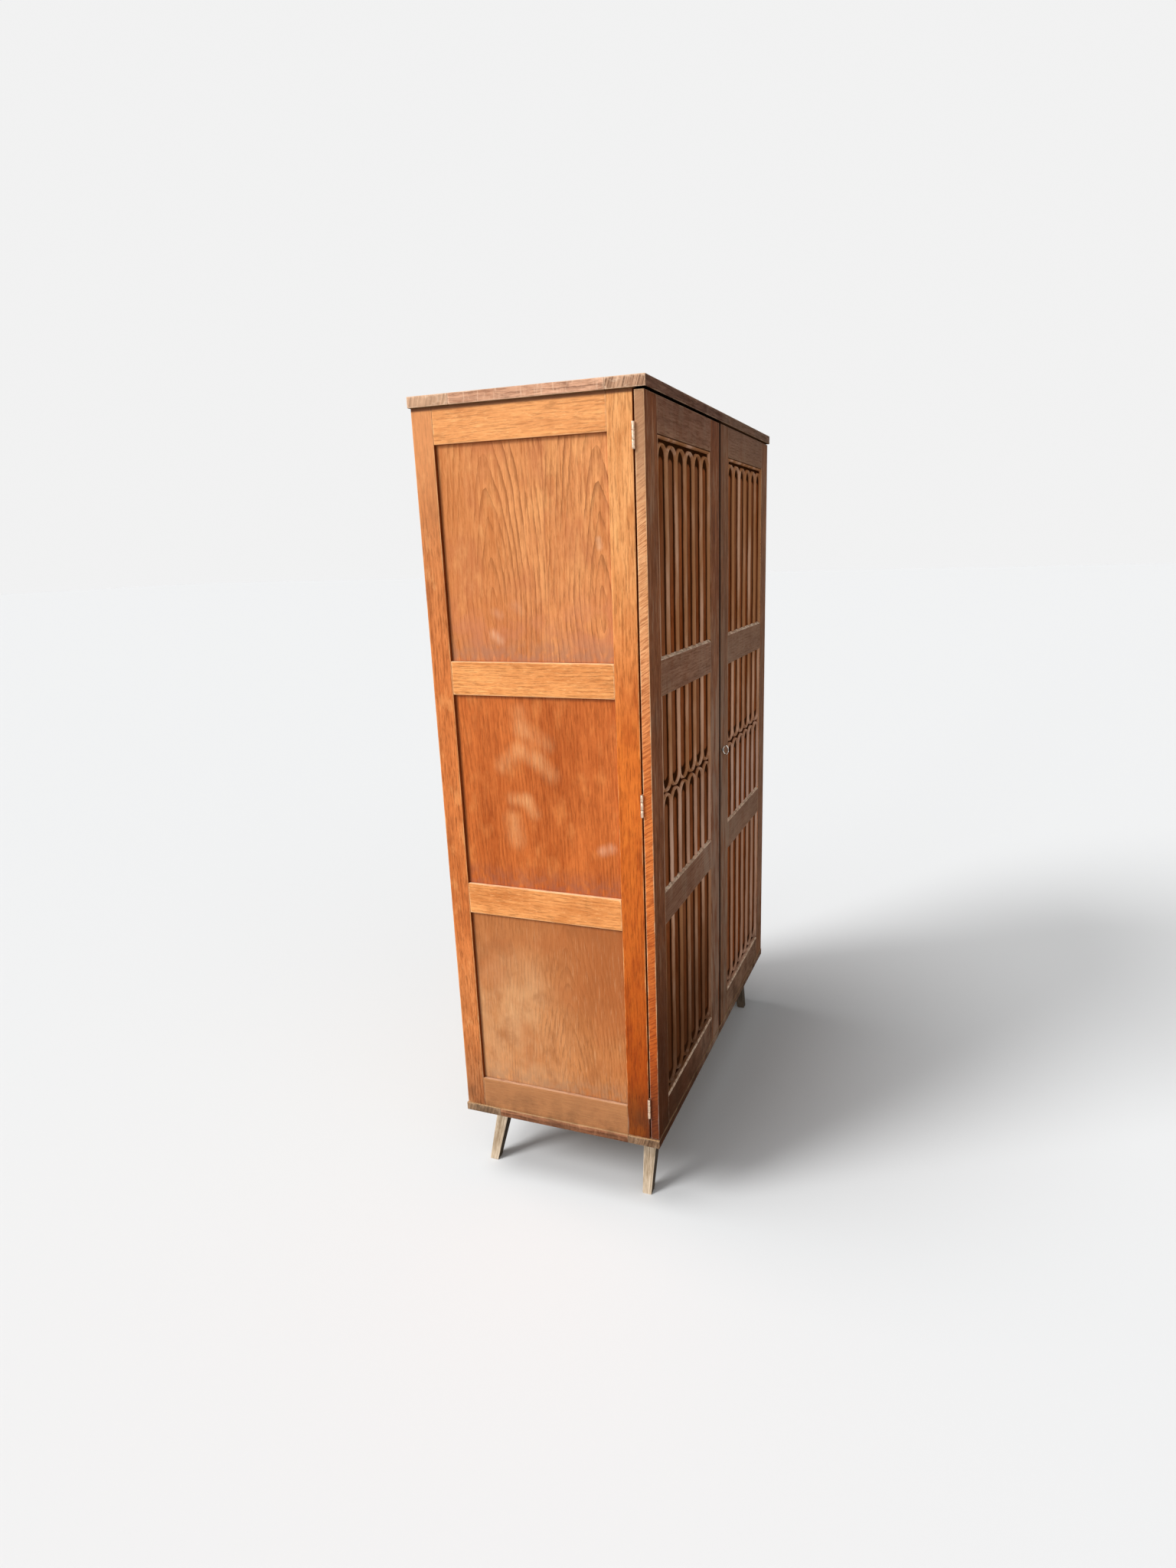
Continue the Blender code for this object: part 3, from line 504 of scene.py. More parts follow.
def rear_stile_finish():
    oak = Oak("rear_stile_oak", (0.46, 0.13, 0.03), (0.74, 0.26, 0.08), rings=0.2, pores=0.55)
    oak.spot((26, 26, 9), 0.5, 0.72, (0.26, 0.07, 0.016), 0.45)
    oak.spot((38, 38, 16), 0.54, 0.7, (0.85, 0.4, 0.15), 0.4)
    oak.tint("Z", 1.45, 1.8, (0.78, 0.35, 0.14), 0.5)
    oak.rub((0.8, 0.42, 0.18), 0.38)
    middle = times(oak.ramp("Z", 1.5, 1.25), oak.ramp("Z", 0.5, 0.7))
    oak.layer(middle, (1.0, 0.87, 0.74), 1.0, "MULTIPLY")
    oak.shade("Z", 0.42, 0.24, (0.68, 0.72, 0.85))
    shade_under_top(oak)
    oak.soil(0.4, 0.04)
    return oak.close()


def rail_finish():
    oak = Oak("rail_oak", (0.6, 0.2, 0.05), (0.9, 0.385, 0.125), rings=0.2)
    flecks = cloud(oak.grain, (330, 330, 60), 3.0, 0.7)
    oak.layer(soft_step(flecks, 0.54, 0.7), (1.0, 0.54, 0.22), 0.4)
    oak.spot((9, 14, 20), 0.5, 0.72, (0.5, 0.15, 0.03), 0.4)
    oak.rub((0.88, 0.48, 0.22), 0.42)
    oak.tint("Z", 1.6, 1.8, (0.9, 0.46, 0.2), 0.15)
    oak.tint("Z", 0.5, 0.4, (0.335, 0.147, 0.062), 0.8)
    shade_under_top(oak)
    oak.soil(0.3, 0.02)
    return oak.close()


def recess_shade_finish():
    """The faces of the stiles that look to the front, painted dark as painted shade in the panel recesses
    and in the gap behind the doors.
    """
    dark, light = (0.19, 0.04, 0.008), (0.34, 0.08, 0.018)
    return Oak("recess_shade_oak", dark, light, rings=0.2, pores=0.4, gloss=0.0).close()


def ledge_finish():
    """The ledges under the panels, where cloths have rubbed the finish off."""
    oak = Oak("ledge_oak", (0.7, 0.33, 0.16), (0.95, 0.58, 0.34), rings=0.2, pores=0.4)
    oak.spot((40, 40, 40), 0.5, 0.72, (0.5, 0.2, 0.09), 0.5)
    oak.shade("Z", 0.5, 0.4, (0.62, 0.62, 0.66))
    return oak.close()


SIDE_LOOKS = [front_stile_finish(), rear_stile_finish(), rail_finish(), recess_shade_finish(), ledge_finish()]
print("frame finishes", [look.name for look in SIDE_LOOKS])

# %% [markdown]
# ## Panel oak
# The side panels are thin boards sawn through the heart, so they show nested arches. The top one is
# joined from two leaves, each with its own arches. The middle one is red and has pale rings left by
# water, and the bottom one has faded to tan on its rear half. Dust lies along the foot of each. The
# arches need a known middle, so these finishes read the place on the wardrobe and not the board's
# own grain vector.

# %% Helpers for the panels
RIM_SHADE = (0.16, 0.045, 0.015)
SEAM_Y = -0.026


def leaf_figure(middle, foot, seed, next_middle=None):
    """A grain vector whose rings lean out from a foot; behind the seam the middle may be another."""
    def figure(oak):
        heart = middle
        if next_middle is not None:
            past = calc("GREATER_THAN", oak.axes["Y"], SEAM_Y)
            heart = add(times(past, next_middle - middle), middle)
        across = calc("SUBTRACT", oak.axes["Y"], heart)
        along = calc("SUBTRACT", oak.axes["Z"], foot)
        return join(across, add(times(oak.axes["X"], 0.1), seed), along)
    return figure


def make_smear_group():
    """A soft band from one point to another, broken into fine strokes along the grain."""
    inputs = {"Place": None, "Start": None, "End": None, "Width": 0.02}
    tree, given, result = new_group("smear", inputs, ["Mask"])
    run = vector("SUBTRACT", given["End"], given["Start"])
    flat = vector("MULTIPLY", given["Place"], (0, 1, 1))
    reach = vector("SUBTRACT", flat, given["Start"])
    along = vector("DOT_PRODUCT", reach, run, 1)
    share = calc("DIVIDE", along, vector("DOT_PRODUCT", run, run, 1), clamp=True)
    off = vector("DISTANCE", reach, vector("SCALE", run, share), 1)
    strokes = cloud(given["Place"], (260, 260, 22), 4.0, 0.7)
    limits = {"Value": strokes, "From Min": 0.32, "From Max": 0.72, "To Min": 0.2}
    strokes = wire(tree, "MapRange", limits).outputs["Result"]
    feed(tree, result, {"Mask": times(soft_step(off, given["Width"], 0.0), strokes)})
    return tree


SMEAR = make_smear_group()


def smear(oak, points, width, tint, share):
    """Pale smears through points (y, z) of the left side."""
    for (y, z), (next_y, next_z) in zip(points, points[1:]):
        values = {"Place": oak.place, "Start": (0, y, z), "End": (0, next_y, next_z), "Width": width}
        oak.layer(times(oak.use(SMEAR, values)["Mask"], oak.ramp("X", 0.1, -0.1)), tint, share)


def dusty_foot(oak, level, tint, share):
    """Dust along the foot of a panel."""
    band = oak.ramp("Z", panel_foot[level] + 0.075, panel_foot[level] + 0.012)
    oak.layer(times(band, oak.spots((60, 60, 40), 0.3, 0.62)), tint, share)


def close_panel(oak, level, top, least):
    """The shade of the frame along the rear and the upper rim of a panel, then grime."""
    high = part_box("left_side_panel_" + level)[1]
    oak.tint("Y", high.y - 0.016, high.y - 0.0085, RIM_SHADE, 0.7)
    oak.tint("Z", high.z - 0.018, high.z - 0.009, RIM_SHADE, 0.4)
    oak.soil(top, least)
    return oak.close()


panel_foot = {level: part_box("left_side_panel_" + level)[0].z for level in ("top", "middle", "bottom")}
print("panel feet", panel_foot)

# %% Three panel finishes
PALE_SMEAR = (0.88, 0.56, 0.36)
GOLD_SMEAR = (0.86, 0.46, 0.2)


def top_panel_finish():
    figure = leaf_figure(-0.15, panel_foot["top"] - 0.03, 0.03, next_middle=0.1)
    oak = Oak(
        "top_panel_oak", (0.54, 0.18, 0.05), (0.84, 0.36, 0.13), figure, gap=0.0115, lean=0.17,
        warp=0.022, rings=0.95, pores=0.42,
    )
    oak.tint("Y", -0.05, 0.2, (0.54, 0.165, 0.04), 0.45)
    oak.spot((9, 9, 6), 0.46, 0.68, (0.46, 0.13, 0.045), 0.5)
    oak.spot((24, 24, 12), 0.5, 0.72, (0.88, 0.42, 0.15), 0.35)
    seam = calc("ABSOLUTE", add(oak.axes["Y"], -SEAM_Y))
    oak.layer(soft_step(seam, 0.0025, 0.0), (0.3, 0.08, 0.025), 0.4)
    haze = times(oak.ramp("Z", 1.5, 1.36), oak.spots((16, 16, 16), 0.4, 0.66))
    oak.layer(haze, (0.58, 0.22, 0.105), 0.6)
    oak.shade("Z", 1.56, 1.38, (0.95, 0.87, 0.84))
    dusty_foot(oak, "top", (0.4, 0.17, 0.09), 0.75)
    smear(oak, [(0.1, 1.418), (0.088, 1.412)], 0.016, PALE_SMEAR, 0.2)
    smear(oak, [(0.108, 1.372), (0.09, 1.358)], 0.016, PALE_SMEAR, 0.4)
    smear(oak, [(-0.143, 1.56), (-0.145, 1.545)], 0.01, PALE_SMEAR, 0.5)
    smear(oak, [(0.055, 1.435), (0.04, 1.42)], 0.016, PALE_SMEAR, 0.14)
    return close_panel(oak, "top", 0.2, 0.04)


def middle_panel_finish():
    figure = leaf_figure(0.4, panel_foot["middle"] - 0.6, 0.5)
    oak = Oak(
        "middle_panel_oak", (0.38, 0.075, 0.01), (0.64, 0.165, 0.034), figure, gap=0.006, lean=0.05,
        warp=0.01, rings=0.25, pores=0.36,
    )
    oak.spot((8, 8, 6), 0.5, 0.75, (0.36, 0.06, 0.008), 0.4)
    oak.spot((20, 20, 11), 0.5, 0.72, (0.75, 0.26, 0.07), 0.4)
    smear(oak, [(0.058, 1.204), (0.054, 1.165), (-0.002, 1.136)], 0.034, GOLD_SMEAR, 0.3)
    arch = [(0.107, 1.083), (0.064, 1.12), (0.018, 1.098), (-0.012, 1.068)]
    smear(oak, arch, 0.032, GOLD_SMEAR, 0.36)
    smear(oak, [(0.085, 1.006), (0.052, 1.006), (0.035, 0.977)], 0.026, GOLD_SMEAR, 0.45)
    smear(oak, [(0.089, 0.959), (0.082, 0.911)], 0.036, GOLD_SMEAR, 0.42)
    smear(oak, [(-0.128, 0.902), (-0.149, 0.91)], 0.02, PALE_SMEAR, 0.4)
    dusty_foot(oak, "middle", (0.32, 0.1, 0.05), 0.7)
    return close_panel(oak, "middle", 0.2, 0.04)


def bottom_panel_finish():
    figure = leaf_figure(-0.03, panel_foot["bottom"] - 0.1, 0.06)
    oak = Oak(
        "bottom_panel_oak", (0.42, 0.145, 0.04), (0.62, 0.24, 0.08), figure, gap=0.008, lean=0.16,
        warp=0.022, pores=0.4,
    )
    faded = times(oak.ramp("Y", -0.09, 0.12), oak.ramp("Z", 0.72, 0.52))
    oak.layer(times(faded, oak.spots((13, 13, 9), 0.2, 0.72)), (0.66, 0.35, 0.165), 0.68)
    red = times(oak.ramp("Y", 0.06, -0.12), oak.ramp("Z", 0.36, 0.58))
    oak.layer(red, (0.34, 0.085, 0.018), 0.7)
    pale = times(oak.ramp("Z", 0.58, 0.5), oak.ramp("Z", 0.4, 0.47), oak.ramp("Y", 0.0, 0.09))
    oak.layer(times(pale, oak.spots((20, 20, 16), 0.34, 0.6)), (0.76, 0.43, 0.2), 0.24)
    oak.spot((300, 300, 22), 0.55, 0.7, (0.76, 0.42, 0.21), 0.3)
    oak.spot((18, 18, 12), 0.48, 0.7, (0.3, 0.1, 0.03), 0.5)
    oak.tint("Z", 0.54, 0.73, (0.4, 0.125, 0.036), 0.5)
    oak.spot((8, 8, 7), 0.5, 0.7, (0.44, 0.13, 0.035), 0.4)
    dusty_foot(oak, "bottom", (0.36, 0.19, 0.1), 0.6)
    return close_panel(oak, "bottom", 0.3, 0.03)


PANEL_LOOKS = {
    "top": top_panel_finish(), "middle": middle_panel_finish(), "bottom": bottom_panel_finish()
}
print("panel finishes", [look.name for look in PANEL_LOOKS.values()])

# %% [markdown]
# ## Other wood
# The top and bottom boards end in blocks of striped end grain at the corners, and their front edges
# are painted as dark as the doors, and the underside of the top is painted dark along its front as
# painted shade over the doors. The doors are a cool dark brown, darker than the sides partly as
# painted shade, as they face away from the light, and painted black where they meet, as the shade
# of the gap. Their long outer edges show slanted pale flecks, where the saw cut along the rays of the
# tree. The legs and the inside were never stained; the faces of the legs that look to the front, and
# the whole front right leg, are painted dark as painted shade.

# %% Slabs, doors, legs and inside
BARE_WOOD = ((0.34, 0.18, 0.08), (0.56, 0.35, 0.18))


def slab_finish():
    oak = Oak("slab_oak", (0.43, 0.195, 0.105), (0.8, 0.445, 0.28))
    oak.spot((12, 18, 60), 0.5, 0.7, (0.14, 0.05, 0.022), 0.6)
    oak.spot((190, 190, 30), 0.52, 0.7, (0.84, 0.56, 0.38), 0.45)
    oak.rub((0.74, 0.48, 0.32), 0.4, 0.9)
    oak.shade("Z", 1.0, 0.5, (0.6, 0.47, 0.37))
    oak.shade("Z", floor_z - 0.005, floor_z - 0.011, (0.6, 0.56, 0.54), 0.9)
    oak.soil(0.5, 0.12, share=0.5)
    return oak.close()


def upright_figure(oak):
    """A grain vector far out from the heart, so that the rings in a board end stand upright."""
    across = add(oak.axes["Y"], times(oak.axes["Z"], 0.3), 5.0)
    return join(across, oak.axes["X"], times(oak.axes["Z"], 0.4))


def end_grain_finish():
    oak = Oak(
        "end_grain", (0.2, 0.085, 0.04), (0.74, 0.43, 0.26), upright_figure, gap=0.0095, warp=0.016,
        rings=0.95, pores=0.6,
    )
    oak.spot((60, 60, 90), 0.5, 0.7, (0.86, 0.62, 0.44), 0.5)
    oak.tint("Y", 0.0, 0.2, (0.8, 0.5, 0.31), 0.4)
    oak.rub((0.72, 0.48, 0.32), 0.4)
    oak.shade("Z", 1.0, 0.5, (0.5, 0.5, 0.46))
    oak.soil(0.5, 0.15, share=0.75)
    return oak.close()


def door_finish(name, dark, light, streaks=1.0, meets=False):
    oak = Oak(name, dark, light, rings=0.3, pores=0.42, rough=0.6, gloss=DOOR_GLOSS)
    oak.spot((14, 14, 5), 0.48, 0.75, (0.24, 0.075, 0.026), 0.5)
    oak.spot((20, 20, 7), 0.5, 0.75, (0.42, 0.27, 0.17), 0.4)
    band = cloud(oak.grain, (80, 80, 9), 4.0, 0.6)
    oak.layer(soft_step(band, 0.5, 0.68), (0.09, 0.03, 0.011), 0.55 * streaks)
    oak.layer(soft_step(band, 0.46, 0.3), (0.6, 0.34, 0.2), 0.4 * streaks)
    shadow = times(oak.ramp("X", 0.1, -0.5), oak.ramp("Z", 0.95, 0.3))
    oak.layer(shadow, (0.065, 0.015, 0.002), 0.85)
    # Painted shade: darker in the last tenth of a metre under the top, below its overhang.
    oak.shade("Z", ceiling_z - 0.1, ceiling_z, (0.72, 0.66, 0.68), 0.8)
    oak.rub((0.6, 0.37, 0.23), 0.36, 0.6)
    meeting = calc("ABSOLUTE", oak.axes["X"])
    handled = times(soft_step(meeting, 0.3, 0.05), oak.ramp("Z", 1.4, 1.1))
    oak.layer(times(handled, oak.spots((34, 34, 7), 0.34, 0.66)), (0.46, 0.31, 0.22), 0.6)
    oak.tint("X", 0.0, 0.01, (0.24, 0.16, 0.095), 0.25)
    if meets:
        # Painted shade: black along the line where the doors meet, as the shade of the gap.
        oak.layer(soft_step(meeting, 0.0095, 0.006), (0.01, 0.004, 0.002), 0.97)
    oak.soil(0.45)
    return oak.close()


def meeting_shade_finish():
    """The rounded edges where the doors meet, painted black as the shade of the gap, and without any shine.
    """
    dark, light = (0.018, 0.007, 0.003), (0.05, 0.02, 0.009)
    return Oak("meeting_edge_shade_oak", dark, light, rings=0.3, pores=0.3, gloss=0.0).close()


def under_top_finish():
    """The underside of the top, unstained inside, painted dark along its front as painted shade over the
    doors, and black over the left door as painted shade of the gap.
    """
    oak = Oak("under_top_wood", *BARE_WOOD, rings=0.4, pores=0.4, gloss=0.0)
    painted_shade_lip = oak.ramp("Y", door_back_y + 0.002, door_back_y - 0.006)
    oak.layer(painted_shade_lip, (0.07, 0.03, 0.014), 0.9)
    oak.layer(times(painted_shade_lip, oak.ramp("X", 0.02, -0.02)), (0.008, 0.004, 0.002), 1.0)
    return oak.close()


def sill_finish():
    # Painted pale as dust on the chamfers, and paler still as a painted highlight where they catch light.
    dark, light = (0.86, 0.56, 0.38), (1.0, 0.79, 0.59)
    oak = Oak("sill_oak", dark, light, rings=0.2, pores=0.4, rough=0.6, gloss=DOOR_GLOSS)
    oak.spot((75, 75, 90), 0.46, 0.6, (0.3, 0.16, 0.09), 0.6)
    return oak.close()


def slanted_figure(oak):
    """The grain vector turned, so that the rings cross a long edge at a slant."""
    parts = split(oak.grain)
    return join(add(times(parts["Y"], 0.6), parts["Z"]), parts["X"], parts["Y"])


def door_edge_finish():
    oak = Oak(
        "door_edge_oak", (0.56, 0.22, 0.075), (0.84, 0.43, 0.2), slanted_figure, gap=0.0085, warp=0.03,
        rings=0.3, pores=0.3,
    )
    rays = cloud(slanted_figure(oak), (260, 90, 50), 3.0, 0.62)
    oak.layer(soft_step(rays, 0.5, 0.62), (0.32, 0.1, 0.03), 0.6)
    oak.layer(soft_step(rays, 0.46, 0.34), (0.94, 0.56, 0.28), 0.4)
    oak.shade("Z", 1.5, 1.0, (0.9, 0.52, 0.25))
    oak.shade("Z", 0.9, 0.35, (0.68, 0.48, 0.28))
    oak.tint("Z", 1.56, 1.74, (0.34, 0.18, 0.095), 0.75)
    oak.rub((0.85, 0.52, 0.28), 0.3)
    oak.shade("Z", 0.45, 0.25, (0.38, 0.4, 0.62))
    oak.soil(0.4, 0.03)
    return oak.close()


def leg_finish(name, dark, light):
    oak = Oak(name, dark, light, gap=0.006, rings=0.55, rough=0.7)
    oak.spot((40, 40, 16), 0.5, 0.72, tuple(0.6 * level for level in dark), 0.5)
    # Painted shade: darker towards the top of the leg, under the bottom of the wardrobe.
    oak.tint("Z", 0.1, 0.18, dark, 0.55)
    oak.tint("Z", 0.07, 0.01, light, 0.25)
    oak.rub(light, 0.4)
    return oak.close()


def inside_finish():
    oak = Oak("inside_wood", *BARE_WOOD, rings=0.4, pores=0.4, rough=0.65)
    oak.spot((6, 6, 5), 0.5, 0.75, (0.26, 0.13, 0.055), 0.45)
    oak.soil(0.3, 0.05, share=0.25)
    return oak.close()


SLAB_OAK = slab_finish()
END_GRAIN = end_grain_finish()
# The doors and the front of the slabs are darker than the sides partly as painted shade, since they face
# away from the light.
DOOR_OAK = door_finish("door_oak", (0.185, 0.052, 0.0165), (0.46, 0.165, 0.063), meets=True)
DOOR_RAIL_OAK = door_finish("door_rail_oak", (0.265, 0.112, 0.056), (0.425, 0.21, 0.122), 0.45)
SLAB_FRONT_SHADE_OAK = door_finish("slab_front_shade_oak", (0.15, 0.066, 0.036), (0.34, 0.175, 0.105))
MEETING_EDGE_SHADE_OAK = meeting_shade_finish()
UNDER_TOP = under_top_finish()
SILL_OAK = sill_finish()
DOOR_EDGE_OAK = door_edge_finish()
LEG_WOOD = leg_finish("leg_wood", (0.29, 0.19, 0.105), (0.82, 0.67, 0.5))
# Painted shade for the legs: the faces that look to the front, and all of the front right leg.
LEG_SHADE_WOOD = leg_finish("leg_shade_wood", (0.05, 0.033, 0.02), (0.13, 0.096, 0.066))
INSIDE_WOOD = inside_finish()
print("finishes so far", len(bpy.data.materials))

# %% [markdown]
# ## Boards
# Nearly every piece of the wardrobe is a planed board. A plain box would do from across a room,
# but a real board has edges that are rounded a little and catch the light. Each board starts as a
# cube, is cut near its edges, and has its edges bevelled. Then every point is given two values that
# the finishes read: the grain vector and the edge number.

# %% Make boards
X, Y, Z = range(3)
TINY = 1e-6
EDGE_ROUND = 0.0011
EDGE_MARGIN = 0.006
MARGIN_SHARE = 0.3
SHARP_ANGLE = 0.5
SMOOTH_ANGLE = math.radians(38)
FACING = 0.9
SEED_STEP = Vector((3.17, 1.73, 5.29))
boards_made = 0


def all_of(shape):
    return shape.verts[:] + shape.edges[:] + shape.faces[:]


def cube_between(low, high):
    """A bmesh cube between two corners."""
    shape = bmesh.new()
    bmesh.ops.create_cube(shape, size=1.0)
    bmesh.ops.scale(shape, vec=Vector(high) - Vector(low), verts=shape.verts)
    bmesh.ops.translate(shape, vec=(Vector(low) + Vector(high)) / 2, verts=shape.verts)
    return shape


def bevel_edges(shape, edges, offset, segments):
    bmesh.ops.bevel(
        shape, geom=edges, offset=offset, segments=segments, profile=0.5, affect="EDGES", material=-1
    )


def sharp_edges(shape, angle=SHARP_ANGLE):
    return [edge for edge in shape.edges if edge.calc_face_angle(0.0) > angle]


def note_grain(shape, low, high, along):
    """Give each point its grain vector and its edge number."""
    global boards_made
    boards_made += 1
    grain = shape.verts.layers.float_vector.new("grain")
    edge = shape.verts.layers.float.new("edge")
    size = Vector(high) - Vector(low)
    across = sorted((axis for axis in range(3) if axis != along), key=lambda axis: -size[axis])
    order = (across[0], across[1], along)
    middle = (Vector(low) + Vector(high)) / 2
    for point in shape.verts:
        local = point.co - middle
        point[grain] = Vector(local[axis] for axis in order) + SEED_STEP * boards_made
        near = sorted(max(size[axis] / 2 - abs(local[axis]), 0) for axis in range(3))
        point[edge] = 1 - min(near[1] / EDGE_MARGIN, 1)


def plane_board(low, high, shaped=None):
    """A planed board, before its grain is noted; shaped is (axis, place, size, steps) of a front edge."""
    shape = cube_between(low, high)
    if shaped:
        axis, place, size, steps = shaped
        front = [
            edge for edge in shape.edges
            if all(abs(end.co[axis] - place) < TINY and end.co.y < low[1] + TINY for end in edge.verts)
        ]
        bevel_edges(shape, front, size, steps)
    for axis in range(3):
        inset = min(EDGE_MARGIN, (high[axis] - low[axis]) * MARGIN_SHARE)
        for reach in (low[axis] + inset, high[axis] - inset):
            normal = Vector(float(axis == number) for number in range(3))
            bmesh.ops.bisect_plane(shape, geom=all_of(shape), plane_co=normal * reach, plane_no=normal)
    bevel_edges(shape, sharp_edges(shape), EDGE_ROUND, 2)
    return shape


def board(low, high, along, shaped=None):
    """A planed board with its grain along an axis."""
    shape = plane_board(low, high, shaped)
    note_grain(shape, low, high, along)
    return shape


def gather(shapes):
    """Several bmeshes as one, each keeping its values."""
    whole = bmesh.new()
    for shape in shapes:
        mesh = as_mesh("gathered", shape)
        whole.from_mesh(mesh)
        bpy.data.meshes.remove(mesh)
    return whole


def paint(shape, direction, index):
    """Give a numbered finish to the faces that look in a direction, or to all with None."""
    shape.normal_update()
    for face in shape.faces:
        if direction is None or face.normal.dot(Vector(direction).normalized()) > FACING:
            face.material_index = index


def place_piece(name, shape, nodes, looks):
    """Make a bmesh a piece that stands for CAD nodes and moves with their body."""
    mesh = as_mesh(name, shape)
    for look in looks:
        mesh.materials.append(look)
    mesh.shade_smooth()
    mesh.set_sharp_from_angle(angle=SMOOTH_ANGLE)
    made = put(name, mesh)
    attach(made, frame["nodes"][nodes[0]]["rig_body"])
    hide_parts(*nodes)
    return made


print("board helpers ready")

# %% [markdown]
# ## The sides
# Each side is a frame of two stiles and four rails, glued up, with three panels loose in grooves.
# The stiles run the full height with upright grain, and the rails sit between them with level
# grain. The six boards of a frame are made one by one, so that each has its own figure, and kept
# in one piece as the glue does.

# %% Side frames and panels
TONGUE = 0.0077


def dress_side(name):
    low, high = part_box(name + "_side_frame")
    panels = {level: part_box(f"{name}_side_panel_{level}") for level in ("bottom", "middle", "top")}
    front = panels["top"][0].y + TONGUE
    rear = panels["top"][1].y - TONGUE
    bottom = floor_z + GAP
    top = ceiling_z - GAP
    inward = (1, 0, 0) if name == "left" else (-1, 0, 0)
    spaces = [(below.z + TONGUE, above.z - TONGUE) for below, above in panels.values()]
    joints = [bottom, *(height for space in spaces for height in space), top]
    shapes = [
        board((low.x, low.y, bottom), (high.x, front - GAP / 2, top), Z),
        board((low.x, rear + GAP / 2, bottom), (high.x, high.y, top), Z),
    ]
    for under, over in zip(joints[::2], joints[1::2]):
        shapes.append(board((low.x, front, under), (high.x, rear, over), Y))
    for index, shape in enumerate(shapes):
        paint(shape, None, min(index, 2))
        if index < 2:
            # Painted shade: the faces of the stiles that look to the front take the dark recess finish.
            paint(shape, (0, -1, 0), 3)
        else:
            # Painted shade: the faces of the rails that look down take the darker finish of the rear stile.
            paint(shape, (0, 0, -1), 1)
            paint(shape, (0, 0, 1), 4)
        paint(shape, inward, 5)
    looks = [*SIDE_LOOKS, INSIDE_WOOD]
    place_piece(name + "_side_boards", gather(shapes), [name + "_side_frame"], looks)
    for level, (below, above) in panels.items():
        corner = (below.x, front + GAP, below.z + TONGUE + GAP)
        far = (above.x, rear - GAP, above.z - TONGUE - GAP)
        node = f"{name}_side_panel_{level}"
        shape = board(corner, far, Z)
        paint(shape, inward, 1)
        place_piece(node + "_board", shape, [node], [PANEL_LOOKS[level], INSIDE_WOOD])


for name in ("left", "right"):
    dress_side(name)
print("sides dressed, boards so far", boards_made)

# %% [markdown]
# ## Top and bottom
# The top and the bottom are flat frames. Their front and back rails run right across, so the side
# of the wardrobe shows their end grain at the corners, and shorter rails run between them.

# %% Top and bottom frames
def dress_slab(name):
    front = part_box(name + "_front_rail")
    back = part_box(name + "_back_rail")
    for place, (low, high) in (("front", front), ("back", back)):
        shape = board(low, high, X)
        paint(shape, (1, 0, 0), 1)
        paint(shape, (-1, 0, 0), 1)
        if place == "front":
            # Painted shade in part: the front face takes the dark door finish.
            paint(shape, (0, -1, 0), 2)
        if name == "top":
            paint(shape, (0, 0, -1), 3)
        else:
            paint(shape, (0, 0, 1), 4)
        looks = [SLAB_OAK, END_GRAIN, SLAB_FRONT_SHADE_OAK, UNDER_TOP, INSIDE_WOOD]
        place_piece(f"{name}_{place}_board", shape, [f"{name}_{place}_rail"], looks)
    inner = []
    for side in ("left", "right"):
        node = f"{name}_{side}_rail"
        low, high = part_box(node)
        low.y, high.y = front[1].y + GAP, back[0].y - GAP
        inner.append(high.x if side == "left" else low.x)
        shape = board(low, high, Y)
        paint(shape, (0, 0, -1 if name == "top" else 1), 1)
        place_piece(f"{name}_{side}_board", shape, [node], [SLAB_OAK, INSIDE_WOOD])
    low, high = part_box(name + "_panel")
    corner = (inner[0] + GAP, front[1].y + GAP, low.z)
    far = (inner[1] - GAP, back[0].y - GAP, high.z)
    place_piece(name + "_field", board(corner, far, X), [name + "_panel"], [INSIDE_WOOD])


for name in ("top", "bottom"):
    dress_slab(name)
print("slabs dressed, boards so far", boards_made)

# %% [markdown]
# ## Inside and back
# Behind the doors there is a shelf for hats on two bearers, a round rail for hangers and a thin
# back. They were never stained, so they get a plain pale finish.

# %% Inside boards
BAR_ROUND = 0.0015

for node, along in (
    ("hat_shelf", X), ("left_shelf_bearer", Y), ("right_shelf_bearer", Y), ("back_panel", Z)
):
    low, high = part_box(node)
    place_piece(node + "_board", board(low, high, along), [node], [INSIDE_WOOD])


def rod(middle, radius, length, axis, segments=40):
    """A round bar about a point, along an axis."""
    shape = bmesh.new()
    bmesh.ops.create_cone(
        shape, cap_ends=True, segments=segments, radius1=radius, radius2=radius, depth=length
    )
    turn = Vector((0, 0, 1)).rotation_difference(Vector(axis)).to_matrix()
    bmesh.ops.rotate(shape, matrix=turn, verts=shape.verts)
    bmesh.ops.translate(shape, vec=middle, verts=shape.verts)
    return shape


def round_ends(shape, offset, segments=2):
    """Bevel the sharp edges of a bar."""
    bevel_edges(shape, sharp_edges(shape, 1.0), offset, segments)
    return shape


low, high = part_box("hanging_rail")
bar = rod((low + high) / 2, (high.z - low.z) / 2, high.x - low.x, (1, 0, 0))
bar = round_ends(bar, BAR_ROUND)
note_grain(bar, low, high, X)
place_piece("hanging_bar", bar, ["hanging_rail"], [INSIDE_WOOD])
print("inside dressed, boards so far", boards_made)

# %% [markdown]
# ## Door frames
# A door frame has two stiles and four rails. The upper front edge of each rail under a panel is
# chamfered, as a sill is, and catches light and dust. The outer edges of the doors show a paler cut
# of the oak, so they get a finish of their own. The doors have sagged, so their heads end a little
# low. One stile has a keyhole, which is drilled with a Boolean modifier, because a hole through a
# finished board is what that tool does best.

